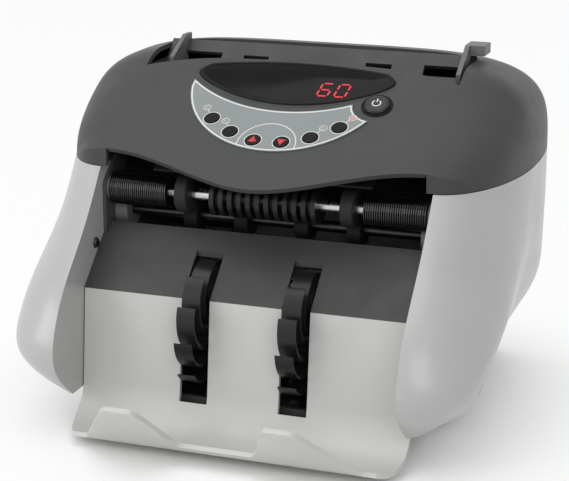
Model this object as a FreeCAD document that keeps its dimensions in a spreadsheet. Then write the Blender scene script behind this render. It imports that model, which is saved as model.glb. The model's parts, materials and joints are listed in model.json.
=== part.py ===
import FreeCAD, Part
import Sketcher
import math
import os
import re
from types import SimpleNamespace
from FreeCAD import Placement, Rotation, Vector

# A table-top banknote counting machine. -Y is the front, +X the right in a front view and +Z up.
# The origin is on the table, under the middle.

# Driving dimensions in millimetres and degrees
SIZES = {
    # Housing walls and the seam between the cover and the side panels
    "bay_half": 91.5,
    "body_half": 128.0,
    "wall": 3.0,
    "seam_z": 136.0,
    "rear_y": 128.0,
    "rear_run": 70.0,
    "rear_turn": 19.0,
    "rear_inset": 2.0,
    # Side panel, level by level: height, front edge, half width at the bulge, length of the front
    # corner, half width behind the bulge
    "sole_z": 21.0,
    "sole_front": -81.0,
    "sole_bulge": 115.0,
    "sole_run": 30.0,
    "sole_half": 114.0,
    "ankle_z": 34.0,
    "ankle_front": -93.0,
    "ankle_bulge": 122.5,
    "ankle_run": 29.0,
    "ankle_half": 115.0,
    "toe_z": 48.0,
    "toe_front": -95.5,
    "toe_bulge": 125.5,
    "toe_run": 33.5,
    "toe_half": 117.0,
    "instep_z": 60.0,
    "instep_front": -93.0,
    "instep_bulge": 129.0,
    "instep_run": 48.0,
    "instep_half": 124.0,
    "shin_z": 80.0,
    "shin_front": -81.0,
    "shin_bulge": 130.0,
    "shin_run": 70.0,
    "shin_half": 127.5,
    "calf_z": 103.0,
    "calf_front": -58.0,
    "calf_bulge": 128.5,
    "calf_run": 83.0,
    "seam_front": -31.0,
    "seam_run": 82.0,
    "blend_run": 40.0,
    # Arch that lifts the lower edge of a side panel behind its leg
    "arch_leg_y": -7.0,
    "arch_rise_z": 50.0,
    "arch_mid_y": 20.0,
    "arch_mid_z": 47.0,
    "arch_rear_z": 80.0,
    # Top cover: sloped console, crest, roll to the rear, brow over the mouth and hopper opening
    "brow_y": -55.0,
    "brow_z": 135.0,
    "brow_edge_y": -53.5,
    "brow_flat": 25.0,
    "brow_bend": 55.0,
    "brow_bend_y": -36.5,
    "slope_deg": 30.0,
    "slope_end_y": 33.0,
    "visor_drop": 10.0,
    "crest_z": 190.0,
    "rear_drop": 42.0,
    "rear_power": 1.3,
    "shoulder_power": 4.5,
    "cheek_y": -19.0,
    "cheek_slope": 0.42,
    "cheek_cut_slope": 1.2,
    "mouth_half": 88.0,
    "hopper_half": 89.5,
    "hopper_front_y": 28.0,
    "hopper_bow": 7.0,
    "hopper_rear_y": 73.0,
    # Console: lens, keypad, keys, lamps, start button and the board below
    "lens_half": 49.5,
    "lens_low": 70.0,
    "lens_mid": 90.5,
    "lens_high": 100.0,
    "lens_end_r": 5.0,
    "dish_rim": 5.0,
    "dish_depth": 0.9,
    "lens_flange": 2.0,
    "pad_low": 30.3,
    "pad_low_r": 56.5,
    "pad_high": 61.3,
    "pad_high_r": 84.0,
    "pad_left": 55.5,
    "pad_thick": 0.5,
    "pad_glue": 0.1,
    "pad_hollow_r": 12.8,
    "key_r": 4.1,
    "key_proud": 1.1,
    "key_travel": 0.6,
    "key_flange": 1.1,
    "key_break": 0.3,
    "up_key_x": 7.8,
    "up_key_s": 37.6,
    "side_key_x": 22.2,
    "side_key_s": 42.7,
    "end_key_x": 35.4,
    "end_key_s": 51.9,
    "lamp_r": 1.5,
    "inner_lamp_x": 27.2,
    "inner_lamp_s": 50.6,
    "outer_lamp_x": 40.7,
    "outer_lamp_s": 60.0,
    "start_x": 50.7,
    "start_s": 71.2,
    "start_r": 6.9,
    "start_proud": 2.0,
    "start_travel": 1.0,
    "board_depth": 9.0,
    "board_thick": 1.6,
    "board_half": 60.0,
    "board_low": 20.0,
    "board_high": 86.5,
    "post_s": 58.0,
    # Base pan and feet
    "foot_z": 3.0,
    "foot_r": 8.0,
    "foot_inset": 14.0,
    "pan_floor": 2.5,
    "pan_front_y": -56.0,
    "pan_nose": 72.0,
    "pan_waist_y": -8.0,
    "pan_corner": 10.0,
    # Stacker tray: lip, trough and plate, with the finger wheels' slots
    "tray_thick": 2.5,
    "lip_top_y": -125.0,
    "lip_top_z": 39.0,
    "lip_deg": 45.0,
    "plate_y": -60.5,
    "plate_z": 34.0,
    "plate_deg": 84.0,
    "trough_r": 22.0,
    "tray_top_z": 75.0,
    "back_long": 43.0,
    "back_slot": 30.0,
    "slot_x": 27.5,
    "slot_width": 15.5,
    "slot_low_z": 20.0,
    "lobe_in": 33.0,
    "lobe_out": 50.0,
    "lip_cut_half": 21.0,
    "lip_cut_z": 13.0,
    "lip_end_half": 74.0,
    "lip_end_z": 8.5,
    "lip_front_y": -86.0,
    "lobe_round": 6.0,
    "notch_round": 9.6,
    "tray_end_y": -68.0,
    "wall_screw_y": -40.5,
    "wall_screw_z": 95.5,
    "wall_screw_r": 3.0,
    "wall_screw_proud": 1.4,
    "recess_long": 3.6,
    "recess_wide": 0.9,
    # Note path: a straight slope from the hopper down to the exit
    "path_y": 29.0,
    "path_z": 154.0,
    "path_deg": 42.0,
    "nip": 0.5,
    "feed_s": 20.0,
    "exit_s": 59.2,
    "pickup_s": -32.0,
    "pickup_proud": 1.0,
    "bed_thick": 2.0,
    "bed_gap": 0.6,
    "guide_gap": 1.6,
    "bed_from": 4.0,
    "hopper_long": 52.0,
    "guide_rise": 40.5,
    # Shafts, rollers and wheels
    "shaft_r": 3.0,
    "run_gap": 0.05,
    "bush_r": 5.0,
    "bush_flange_r": 7.0,
    "bush_flange": 1.2,
    "boss_r": 10.0,
    "boss_long": 7.0,
    "edge_break": 0.6,
    "gear_teeth": 20.0,
    "gear_module": 1.0,
    "gear_x": 95.3,
    "gear_wide": 4.5,
    "exit_r": 10.25,
    "disc_thick": 2.6,
    "disc_pitch": 5.1,
    "disc_hub_r": 7.0,
    "tyre_x": 45.9,
    "tyre_width": 7.0,
    "rib_in": 54.5,
    "rib_out": 88.0,
    "rib_r": 9.0,
    "rib_depth": 0.9,
    "feed_r": 16.0,
    "feed_width": 14.0,
    "feed_in_x": 22.0,
    "feed_out_x": 52.0,
    "pickup_r": 14.0,
    "pickup_width": 12.0,
    "pickup_x": 36.0,
    "drive_width": 8.0,
    "drive_in_x": 17.0,
    "retard_r": 8.0,
    "retard_width": 12.0,
    "stack_y": -39.0,
    "stack_z": 55.0,
    "stack_r": 36.0,
    "stack_hub_r": 12.0,
    "stack_width": 10.0,
    "blade_lag": 62.0,
    "blade_root": 4.2,
    "blade_tip": 1.3,
    # Drive: belt planes beyond the side walls, pulleys, motor
    "plane_one": 97.0,
    "plane_two": 104.0,
    "belt_width": 4.4,
    "belt_thick": 1.4,
    "belt_gap": 0.3,
    "tread_width": 5.0,
    "flange_thick": 0.8,
    "flange_high": 2.0,
    "motor_y": 75.0,
    "motor_z": 97.0,
    "motor_r": 21.0,
    "motor_long": 52.0,
    "motor_cap_r": 8.5,
    "motor_tread_r": 7.0,
    "feed_tread_r": 14.0,
    "feed_big_r": 18.0,
    "drive_small_r": 7.0,
    "drive_tread_r": 6.5,
    "stack_tread_r": 18.0,
    "pickup_tread_r": 9.0,
    # Frame, bars and boards
    "frame_thick": 2.0,
    "bar_r": 4.0,
    "bar_front_y": 20.0,
    "bar_rear_y": 94.0,
    "bar_low_z": 62.0,
    "bar_high_z": 150.0,
    "frame_front_y": -49.0,
    "neck_y": -30.0,
    "neck_z": 86.0,
    "frame_top_z": 179.0,
    "frame_rear_y": 102.0,
    "stand_off": 5.0,
    "fit_gap": 0.3,
    "guide_x": 84.0,
    "guide_thick": 2.5,
    "guide_top_z": 195.4,
    "left_guide_x": 79.0,
    "left_guide_top_z": 192.4,
    "guide_travel": 22.0,
    "guide_slot_s": -40.0,
    "guide_tongue": 3.4,
    "guide_block": 5.5,
    "vent_width": 3.0,
    "vent_pitch": 7.0,
    "vent_long": 26.0,
    "vent_x": -73.0,
    "vent_z": 84.0,
    "inlet_x": 52.0,
    "inlet_z": 44.0,
    "inlet_wide": 28.0,
    "inlet_high": 20.5,
    "inlet_deep": 24.0,
    "switch_x": 18.0,
    "switch_wide": 22.0,
    "switch_high": 14.0,
    "switch_deep": 16.0,
    "rocker_valley": 0.8,
    "pivot_r": 1.2,
    "pivot_long": 1.2,
    "pin_pitch": 7.0,
    "pin_drop": 2.4,
    "rocker_deg": 12.0,
    "screw_r": 3.2,
}

VENT_COUNT = 9
DISC_PAIRS = 6
RIB_COUNT = 16
BLADE_COUNT = 12
SECTION_STEPS = 24
FRONT_STEPS = 12
REAR_STEPS = 8
CHEEK_STEPS = 4
QUARTER = 0.5523
# How soon a side panel's bulge falls away, as a share of the fall's length
BLEND_LEAD = 0.15
# A gear tooth: its rise and depth in modules, and its corners in tooth pitches
TOOTH_RISE = 0.85
TOOTH_DEPTH = 1.2
TOOTH_TURNS = (-0.30, -0.12, 0.12, 0.30)
# Where a wheel's finger bends, as a share of its lag
BLADE_BEND = 0.36

doc = FreeCAD.newDocument("banknote_counter")
sheet = doc.addObject("Spreadsheet::Sheet", "dims")
for row, (alias, value) in enumerate(SIZES.items(), start=1):
    sheet.set(f"A{row}", alias)
    sheet.set(f"B{row}", str(value))
    sheet.setAlias(f"B{row}", alias)
doc.recompute()
mm = SimpleNamespace(**{alias: float(sheet.get(alias)) for alias in SIZES})
nodes = []


# Helpers for expressions, sketches and solids

def bound(expression):
    """The same expression with every size read from the sheet, for another object."""
    def named(word):
        return f"dims.{word[0]}" if word[0] in SIZES else word[0]

    return re.sub(r"[a-z]\w*", named, expression)


def evaluate(expression):
    """The value of an expression in the sheet's own names."""
    return float(sheet.evalExpression(expression))


def node(label, item, place=None):
    """Name a sub-part, place it and list it for export."""
    item.Label = label
    if place is not None:
        item.Placement = place
    nodes.append(item)
    return item


def coded(label, shape):
    """A sub-part whose surfaces no sketch gives: its shape is worked out here."""
    item = doc.addObject("Part::Feature", label)
    item.Shape = shape
    return node(label, item)


def sketch_on(body, role, name):
    """An empty sketch on one of a body's own origin planes."""
    plane = next(feature for feature in body.Origin.OriginFeatures if feature.Role == role)
    sketch = body.newObject("Sketcher::SketchObject", name)
    sketch.AttachmentSupport = (plane, [""])
    sketch.MapMode = "FlatFace"
    return sketch


def outline(sketch, corners):
    """A closed outline whose corners are held by dimensions bound to the sheet."""
    first = sketch.GeometryCount
    values = [(evaluate(across), evaluate(up)) for across, up in corners]
    count = len(values)
    for index in range(count):
        start = Vector(*values[index], 0)
        end = Vector(*values[(index + 1) % count], 0)
        sketch.addGeometry(Part.LineSegment(start, end))
    for index in range(count):
        following = first + (index + 1) % count
        sketch.addConstraint(Sketcher.Constraint("Coincident", first + index, 2, following, 1))
    for index, corner in enumerate(corners):
        for kind, value, expression in zip(("DistanceX", "DistanceY"), values[index], corner):
            limit = sketch.addConstraint(Sketcher.Constraint(kind, -1, 1, first + index, 1, value))
            sketch.setExpression(f"Constraints[{limit}]", bound(expression))


def turned(name, corners, axis="H_Axis"):
    """A body turned about X (H_Axis) or Z (V_Axis) from a profile of along and radius."""
    body = doc.addObject("PartDesign::Body", name)
    sketch = sketch_on(body, "XZ_Plane", f"{name}_profile")
    outline(sketch, corners)
    turn = body.newObject("PartDesign::Revolution", f"{name}_turn")
    turn.Profile = sketch
    turn.ReferenceAxis = (sketch, [axis])
    turn.Angle = 360
    body.Tip = turn
    return body


def padded(name, role, corners, length, centred=False):
    """A body padded from a flat outline."""
    body = doc.addObject("PartDesign::Body", name)
    sketch = sketch_on(body, role, f"{name}_outline")
    outline(sketch, corners)
    pad = body.newObject("PartDesign::Pad", f"{name}_pad")
    pad.Profile = sketch
    pad.setExpression("Length", bound(length))
    pad.Midplane = centred
    body.Tip = pad
    return body


def rectangle(left, right, low, high):
    return [(left, low), (right, low), (right, high), (left, high)]


def pocket(body, role, corners, length, offset, backwards=False):
    """Cut a flat outline out of a body from a plane shifted along its normal; it must remove metal."""
    doc.recompute()
    before = body.Shape.Volume
    name = f"{body.Name}_cut{len(body.Group)}"
    sketch = sketch_on(body, role, f"{name}_outline")
    sketch.setExpression("AttachmentOffset.Base.z", bound(offset))
    for shape in corners:
        outline(sketch, shape)
    cut = body.newObject("PartDesign::Pocket", name)
    cut.Profile = sketch
    cut.setExpression("Length", bound(length))
    cut.Reversed = backwards
    body.Tip = cut
    doc.recompute()
    if body.Shape.Volume >= before:
        raise RuntimeError(f"{name} cuts nothing")
    return cut


def rounded(body, edges, radius):
    """Round some edges of a body's tip, picked by a test on the edge."""
    doc.recompute()
    tip = body.Tip
    names = [f"Edge{i}" for i, edge in enumerate(tip.Shape.Edges, start=1) if edges(edge)]
    fillet = body.newObject("PartDesign::Fillet", f"{body.Name}_round{len(body.Group)}")
    fillet.Base = (tip, names)
    fillet.setExpression("Radius", bound(radius))
    body.Tip = fillet
    return fillet


def upright(edge):
    """True for a straight edge along Z."""
    ends = [vertex.Point for vertex in edge.Vertexes]
    return len(ends) == 2 and (ends[0] - ends[1]).cross(Vector(0, 0, 1)).Length < 1e-6


def group(label, items):
    """Separate solids of one node."""
    together = doc.addObject("Part::Compound", label)
    together.Links = items
    return node(label, together)


def mirrored(item):
    """The same piece on the other side of the middle plane."""
    copy = doc.addObject("Part::Mirroring", f"{item.Name}_mirror")
    copy.Source = item
    copy.Base = Vector(0, 0, 0)
    copy.Normal = Vector(1, 0, 0)
    return copy


def shifted(item, along, count):
    """Copies of a piece at steps of a vector, the piece itself first."""
    copies = [item]
    for step in range(1, count):
        link = doc.addObject("Part::Compound", f"{item.Name}_step{step}")
        link.Links = [item]
        link.Placement = Placement(along * step, Rotation())
        copies.append(link)
    return copies


def wire(points, closed=True):
    """Straight edges through points."""
    return Part.makePolygon(points + points[:1] if closed else points)


def rounded_wire(points, radii):
    """A closed outline of straight edges with an arc of the given radius at each corner."""
    edges = []
    trims = []
    count = len(points)
    for index in range(count):
        corner = points[index]
        back = (points[index - 1] - corner).normalize()
        ahead = (points[(index + 1) % count] - corner).normalize()
        half = back.getAngle(ahead) / 2
        reach = radii[index] / math.tan(half)
        middle = corner + (back + ahead).normalize() * (radii[index] / math.sin(half) - radii[index])
        trims.append((corner + back * reach, middle, corner + ahead * reach))
    for index in range(count):
        start, middle, end = trims[index]
        if radii[index] > 0:
            edges.append(Part.Arc(start, middle, end).toShape())
        edges.append(Part.LineSegment(end, trims[(index + 1) % count][0]).toShape())
    return Part.Wire(edges)


def prism(closed_wire, along):
    return Part.Face(closed_wire).extrude(along)


def bezier(poles):
    curve = Part.BezierCurve()
    curve.setPoles(poles)
    return curve.toShape()


def block(low, high):
    """A box between two corners."""
    span = high - low
    return Part.makeBox(span.x, span.y, span.z, low)


def on_path(down, off=0.0):
    """A point (y, z) of the note path: down its slope, and off it upwards."""
    angle = math.radians(mm.path_deg)
    along = mm.path_y - down * math.cos(angle) - off * math.sin(angle)
    return along, mm.path_z - down * math.sin(angle) + off * math.cos(angle)


def at(axis, x=0.0):
    """Placement of a piece turned about X on a shaft's axis (y, z)."""
    return Placement(Vector(x, *axis), Rotation())


CONSOLE = Placement(Vector(0, mm.brow_y, mm.brow_z), Rotation(Vector(1, 0, 0), mm.slope_deg))


def on_console(across, up, height=0.0):
    """Placement on the sloped console: across it, up its slope and off its face."""
    return CONSOLE.multiply(Placement(Vector(across, up, height), Rotation()))


EXIT_AXIS = on_path(mm.exit_s, mm.exit_r + mm.nip / 2)
DRIVE_R = mm.gear_teeth * mm.gear_module - mm.exit_r - mm.nip
DRIVE_AXIS = on_path(mm.exit_s, mm.exit_r + mm.nip / 2 - mm.gear_teeth * mm.gear_module)
FEED_AXIS = on_path(mm.feed_s, -mm.feed_r - mm.nip / 2)
RETARD_AXIS = on_path(mm.feed_s, mm.retard_r + mm.nip / 2)
PICKUP_AXIS = on_path(mm.pickup_s, mm.pickup_proud - mm.pickup_r)
STACK_AXIS = (mm.stack_y, mm.stack_z)
MOTOR_AXIS = (mm.motor_y, mm.motor_z)
FRAME_IN = mm.bay_half - mm.frame_thick
GEAR_PITCH = mm.gear_teeth * mm.gear_module / 2
GEAR_TIP = GEAR_PITCH + mm.gear_module * TOOTH_RISE


# Side panels: hollow shells lofted through level outlines, with an arch behind the leg

def corner_curve(x_in, y_front, x_out, y_side, z):
    """The rounded front corner of a panel or of the cover, a quarter of an ellipse."""
    return bezier([
        Vector(x_in, y_front, z),
        Vector(x_in + QUARTER * (x_out - x_in), y_front, z),
        Vector(x_out, y_side - QUARTER * (y_side - y_front), z),
        Vector(x_out, y_side, z),
    ])


def side_edges(z, front, bulge, run, half, inset):
    """Front corner, bulge, side and rear corner of a level outline, on the +X side."""
    x_bulge = bulge - inset
    x_side = half - inset
    y_bulge = front + run
    y_turn = mm.rear_y - mm.rear_run
    y_side = min(y_bulge + mm.blend_run, y_turn - mm.wall)
    y_lead = (y_side - y_bulge) * BLEND_LEAD
    y_rear = mm.rear_y - inset
    blend = [(x_bulge, y_bulge), (x_bulge, y_bulge + y_lead), (x_side, y_side - y_lead), (x_side, y_side)]
    x_rear = max(x_side - mm.rear_turn, mm.bay_half + inset + mm.wall)
    turn = [
        (x_side, y_turn),
        (x_side, y_turn + QUARTER * (y_rear - y_turn)),
        (x_rear + QUARTER * (x_side - x_rear), y_rear),
        (x_rear, y_rear),
    ]
    return [
        corner_curve(mm.bay_half + inset, front + inset, x_bulge, y_bulge, z),
        bezier([Vector(x, y, z) for x, y in blend]),
        Part.makeLine(Vector(x_side, y_side, z), Vector(x_side, y_turn, z)),
        bezier([Vector(x, y, z) for x, y in turn]),
    ]


def level_wire(z, front, bulge, run, half, inset):
    """The closed outline of a side panel at one height."""
    edges = side_edges(z, front, bulge, run, half, inset)
    x_in = mm.bay_half + inset
    last = edges[-1].Vertexes[-1].Point
    inner_rear = Vector(x_in, mm.rear_y - inset, z)
    edges.append(Part.makeLine(last, inner_rear))
    edges.append(Part.makeLine(inner_rear, Vector(x_in, front + inset, z)))
    return Part.Wire(edges)


def panel_loft(inset):
    """The bulk of a panel, skinned through its levels."""
    levels = [
        (mm.sole_z, mm.sole_front, mm.sole_bulge, mm.sole_run, mm.sole_half),
        (mm.ankle_z, mm.ankle_front, mm.ankle_bulge, mm.ankle_run, mm.ankle_half),
        (mm.toe_z, mm.toe_front, mm.toe_bulge, mm.toe_run, mm.toe_half),
        (mm.instep_z, mm.instep_front, mm.instep_bulge, mm.instep_run, mm.instep_half),
        (mm.shin_z, mm.shin_front, mm.shin_bulge, mm.shin_run, mm.shin_half),
        (mm.calf_z, mm.calf_front, mm.calf_bulge, mm.calf_run, mm.body_half),
        (mm.seam_z, mm.seam_front, mm.body_half, mm.seam_run, mm.body_half),
    ]
    return Part.makeLoft([level_wire(*level, inset) for level in levels], True, False)


def arch_tool(rise, inner_x):
    """The space under the rear of a side panel, beyond inner_x; rise lifts its curve."""
    leg_y = mm.arch_leg_y - rise
    far_y = mm.rear_y + mm.wall
    low_z = mm.sole_z - mm.wall
    start = Vector(inner_x, leg_y, mm.sole_z)
    end = Vector(inner_x, far_y, mm.arch_rear_z + rise)
    curve = bezier([
        start,
        Vector(inner_x, leg_y, mm.arch_rise_z + rise),
        Vector(inner_x, mm.arch_mid_y, mm.arch_mid_z + rise),
        end,
    ])
    below = [end, Vector(inner_x, far_y, low_z), Vector(inner_x, leg_y, low_z), start]
    edges = [curve] + wire(below, closed=False).Edges
    return prism(Part.Wire(edges), Vector(mm.body_half, 0, 0))


def through_hole(axis, radius, x_from, x_to):
    """A cylinder along X on a shaft's axis."""
    return Part.makeCylinder(radius, x_to - x_from, Vector(x_from, *axis), Vector(1, 0, 0))


def side_panel(holes):
    """The +X panel: outer skin, bay wall and arch skin, open at the top and at the sole."""
    shell_x = mm.bay_half + mm.wall
    outer = panel_loft(0).cut(arch_tool(0, shell_x))
    cavity = panel_loft(mm.wall).cut(arch_tool(mm.wall, mm.bay_half))
    shell = outer.cut(cavity)
    clear = mm.bush_r + mm.wall
    tools = [through_hole(axis, clear, mm.bay_half - mm.wall, shell_x + mm.fit_gap) for axis in holes]
    return shell.cut(tools)


MIDDLE = Vector(0, 0, 0)
ACROSS = Vector(1, 0, 0)
right_panel = side_panel([EXIT_AXIS, DRIVE_AXIS, FEED_AXIS, STACK_AXIS])
coded("right_side_panel", right_panel)
left_panel = side_panel([EXIT_AXIS, DRIVE_AXIS, FEED_AXIS, MOTOR_AXIS, STACK_AXIS])
# Room for the exit gear behind the left panel's front skin
gear_end = mm.gear_x + mm.gear_wide + mm.fit_gap
gear_room = through_hole(EXIT_AXIS, GEAR_TIP + 2 * mm.fit_gap, mm.bay_half + mm.wall, gear_end)
left_panel = left_panel.cut(gear_room)
coded("left_side_panel", left_panel.mirror(MIDDLE, ACROSS))


# Top cover: a domed shell with squared shoulders, a brow over the mouth and the sloped console

CREST_Y = mm.rear_y - mm.rear_run
CORNER_Y = mm.seam_front + mm.seam_run
SLOPE = math.tan(math.radians(mm.slope_deg))
DOME_Z = mm.seam_z - mm.visor_drop
PLAN_Z = DOME_Z - mm.visor_drop


def corner_half(y):
    """Half the cover's width where its front corner is a quarter of an ellipse."""
    share = (CORNER_Y - y) / mm.seam_run
    return mm.bay_half + (mm.body_half - mm.bay_half) * math.sqrt(1 - share ** 2)


def front_section(y):
    """Half width and height of the cover between the brow and the crest."""
    half = corner_half(min(max(y, mm.cheek_y), CORNER_Y)) - max(mm.cheek_y - y, 0) * mm.cheek_slope
    start_z = mm.brow_z + (mm.slope_end_y - mm.brow_y) * SLOPE
    if y <= mm.slope_end_y:
        return half, start_z + (y - mm.slope_end_y) * SLOPE
    span = CREST_Y - mm.slope_end_y
    share = (y - mm.slope_end_y) / span
    rise = share ** 2 * (3 - 2 * share)
    lead = share * (1 - share) ** 2
    return half, start_z + (mm.crest_z - start_z) * rise + span * SLOPE * lead


def rear_section(angle):
    """Half width and height of the cover where it rolls down to the rear."""
    half = mm.body_half - mm.rear_turn * (1 - math.cos(angle))
    return half, mm.crest_z - mm.rear_drop * (1 - math.cos(angle)) ** mm.rear_power


def arch_row(y, half, top, base_z):
    """Points of a squared arch |x/half|^n + |z/height|^n = 1, closest together at its feet."""
    power = 2 / mm.shoulder_power
    points = []
    for step in range(SECTION_STEPS + 1):
        share = step / SECTION_STEPS
        angle = math.pi * share ** 2 * (3 - 2 * share)
        across = math.copysign(abs(math.cos(angle)) ** power, math.cos(angle))
        up = max(math.sin(angle), 0.0) ** power if 0 < step < SECTION_STEPS else 0.0
        points.append(Vector(half * across, y, base_z + (top - base_z) * up))
    return points


def dome(inset):
    """The cover's bulk under one smooth skin through arches set along Y."""
    base_z = DOME_Z - inset
    front_y = mm.brow_y - mm.wall - inset
    rows = []
    for step in range(FRONT_STEPS):
        y = front_y + (CREST_Y - front_y) * step / FRONT_STEPS
        half, top = front_section(y)
        thin = inset / 2 if y < mm.seam_front else inset
        rows.append(arch_row(y, half - inset, top - thin, base_z))
    for step in range(REAR_STEPS + 1):
        angle = math.pi / 2 * step / REAR_STEPS
        half, top = rear_section(angle)
        y = CREST_Y + (mm.rear_run - inset) * math.sin(angle)
        rows.append(arch_row(y, half - inset, top - inset, base_z))
    surface = Part.BSplineSurface()
    surface.interpolate(rows)
    skin = surface.toShape()
    feet = [Part.makeLine(row[0], row[-1]) for row in (rows[0], rows[-1])]
    rims = {}
    for edge in skin.Edges:
        middle = edge.valueAt((edge.FirstParameter + edge.LastParameter) / 2)
        ends = [vertex.Point for vertex in edge.Vertexes]
        across = abs(ends[0].y - ends[-1].y) < mm.fit_gap
        rims["front" if across and middle.y < 0 else "rear" if across else middle.x < 0] = edge
    caps = [
        Part.Face(Part.Wire([rims["front"], feet[0]])),
        Part.Face(Part.Wire([rims["rear"], feet[1]])),
        Part.Face(Part.Wire(Part.__sortEdges__([rims[True], rims[False]] + feet))),
    ]
    shell = Part.makeShell([skin] + caps)
    shell.sewShape()
    return Part.makeSolid(shell)


def cheek(inset):
    """A front corner of the cover's plan, then straight out through its side and on to the rear."""
    points = []
    last = math.acos((CORNER_Y - mm.cheek_y) / mm.seam_run)
    for step in range(CHEEK_STEPS + 1):
        angle = last * step / CHEEK_STEPS
        x = mm.bay_half + inset + (mm.body_half - mm.bay_half - 2 * inset) * math.sin(angle)
        points.append(Vector(x, CORNER_Y - (mm.seam_run - inset) * math.cos(angle), PLAN_Z))
    curve = Part.BSplineCurve()
    curve.interpolate(points)
    leave = points[-1]
    far_x = mm.body_half + mm.visor_drop
    outside = Vector(far_x, leave.y + (far_x - leave.x) / mm.cheek_cut_slope, PLAN_Z)
    rear = Vector(far_x, mm.rear_y + mm.visor_drop, PLAN_Z)
    return points[0], [curve.toShape()] + wire([leave, outside, rear], closed=False).Edges


def plan_prism(half_edges):
    """A tall prism from half an outline, the middle of its front first, and its mirror image."""
    edges = half_edges + [edge.mirror(MIDDLE, ACROSS) for edge in half_edges]
    rear = half_edges[-1].Vertexes[-1].Point
    edges.append(Part.makeLine(rear, Vector(-rear.x, rear.y, rear.z)))
    return prism(Part.Wire(Part.__sortEdges__(edges)), Vector(0, 0, mm.crest_z))


def cover_plan():
    """The cover's plan from above: brow and front corners; its sides are the dome's own."""
    cusp, sides = cheek(0)
    brow = bezier([
        Vector(0, mm.brow_edge_y, PLAN_Z),
        Vector(mm.brow_flat, mm.brow_edge_y, PLAN_Z),
        Vector(mm.brow_bend, mm.brow_bend_y, PLAN_Z),
        cusp,
    ])
    return plan_prism([brow] + sides)


def cavity_plan():
    """The cavity's plan: open to the front across the mouth, a wall's thickness inside the corners."""
    cusp, sides = cheek(mm.wall)
    front_y = mm.brow_y - mm.visor_drop * 2
    front = wire([
        Vector(0, front_y, PLAN_Z),
        Vector(mm.mouth_half, front_y, PLAN_Z),
        Vector(mm.mouth_half, cusp.y, PLAN_Z),
        cusp,
    ], closed=False)
    return plan_prism(front.Edges + sides)


def console_prism(flat_wire, low, high):
    """A prism through the console's face, from a wire drawn on its slope."""
    solid = prism(flat_wire, Vector(0, 0, high - low))
    solid.translate(Vector(0, 0, low))
    solid.Placement = CONSOLE.multiply(solid.Placement)
    return solid


def lens_wire(spread):
    """The eye-shaped lens: a deep lower arc and a flat upper arc between two rounded ends."""
    half = mm.lens_half + spread
    low = mm.lens_low - spread
    high = mm.lens_high + spread
    end_low = mm.lens_mid - mm.lens_end_r
    end_high = mm.lens_mid + mm.lens_end_r
    return Part.Wire([
        Part.Arc(Vector(-half, end_low, 0), Vector(0, low, 0), Vector(half, end_low, 0)).toShape(),
        Part.Arc(Vector(half, end_low, 0), Vector(half + mm.lens_end_r / 2, mm.lens_mid, 0),
                 Vector(half, end_high, 0)).toShape(),
        Part.Arc(Vector(half, end_high, 0), Vector(0, high, 0), Vector(-half, end_high, 0)).toShape(),
        Part.Arc(Vector(-half, end_high, 0), Vector(-half - mm.lens_end_r / 2, mm.lens_mid, 0),
                 Vector(-half, end_low, 0)).toShape(),
    ])


KEYS = {
    "add_key": (-mm.end_key_x, mm.end_key_s),
    "batch_key": (-mm.side_key_x, mm.side_key_s),
    "up_key": (-mm.up_key_x, mm.up_key_s),
    "down_key": (mm.up_key_x, mm.up_key_s),
    "mode_key": (mm.side_key_x, mm.side_key_s),
    "detect_key": (mm.end_key_x, mm.end_key_s),
}
LAMPS = [
    (-mm.outer_lamp_x, mm.outer_lamp_s),
    (-mm.inner_lamp_x, mm.inner_lamp_s),
    (mm.inner_lamp_x, mm.inner_lamp_s),
    (mm.outer_lamp_x, mm.outer_lamp_s),
]


def console_peg(across, up, radius, low, high):
    """A round peg square to the console."""
    peg = Part.makeCylinder(radius, high - low, Vector(across, up, low))
    peg.Placement = CONSOLE.multiply(peg.Placement)
    return peg


def top_cover():
    """Shell, mouth, hopper opening, lens recess, holes for keys and lamps, and board posts."""
    outer = dome(0).common(cover_plan())
    far = mm.body_half * 2
    for near_x, far_x in ((mm.mouth_half, far), (-far, -mm.mouth_half)):
        outer = outer.cut(block(Vector(near_x, -far, PLAN_Z), Vector(far_x, far, mm.seam_z)))
    outer = outer.cut(block(Vector(-far, mm.seam_front, PLAN_Z), Vector(far, far, mm.seam_z)))
    shell = outer.cut(dome(mm.wall).common(cavity_plan()))
    hopper_edges = [
        Part.Arc(Vector(-mm.hopper_half, mm.hopper_front_y, mm.seam_z),
                 Vector(0, mm.hopper_front_y + mm.hopper_bow, mm.seam_z),
                 Vector(mm.hopper_half, mm.hopper_front_y, mm.seam_z)).toShape(),
    ]
    hopper_edges += wire([
        Vector(mm.hopper_half, mm.hopper_front_y, mm.seam_z),
        Vector(mm.hopper_half, mm.hopper_rear_y, mm.seam_z),
        Vector(-mm.hopper_half, mm.hopper_rear_y, mm.seam_z),
        Vector(-mm.hopper_half, mm.hopper_front_y, mm.seam_z),
    ], closed=False).Edges
    shell = shell.cut(prism(Part.Wire(hopper_edges), Vector(0, 0, mm.crest_z)))
    deep = mm.wall * 2
    tools = [console_prism(lens_wire(mm.fit_gap), -deep, deep)]
    tools.append(console_prism(lens_wire(mm.dish_rim), -mm.dish_depth, deep))
    for across, up in KEYS.values():
        tools.append(console_peg(across, up, mm.key_r + mm.fit_gap, -deep, deep))
    for across, up in LAMPS:
        tools.append(console_peg(across, up, mm.lamp_r + mm.fit_gap, -deep, deep))
    tools.append(console_peg(mm.start_x, mm.start_s, mm.start_r + mm.fit_gap, -deep, deep))
    shell = shell.cut(tools)
    for across in (-mm.board_half + mm.foot_r, mm.board_half - mm.foot_r):
        for up in (mm.board_low + mm.foot_r, mm.post_s):
            post = console_peg(across, up, mm.shaft_r, -mm.board_depth, -mm.wall / 2)
            shell = shell.fuse(post)
    return shell


coded("top_cover", top_cover())


# Console pieces, each drawn flat and then laid on the slope

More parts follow.
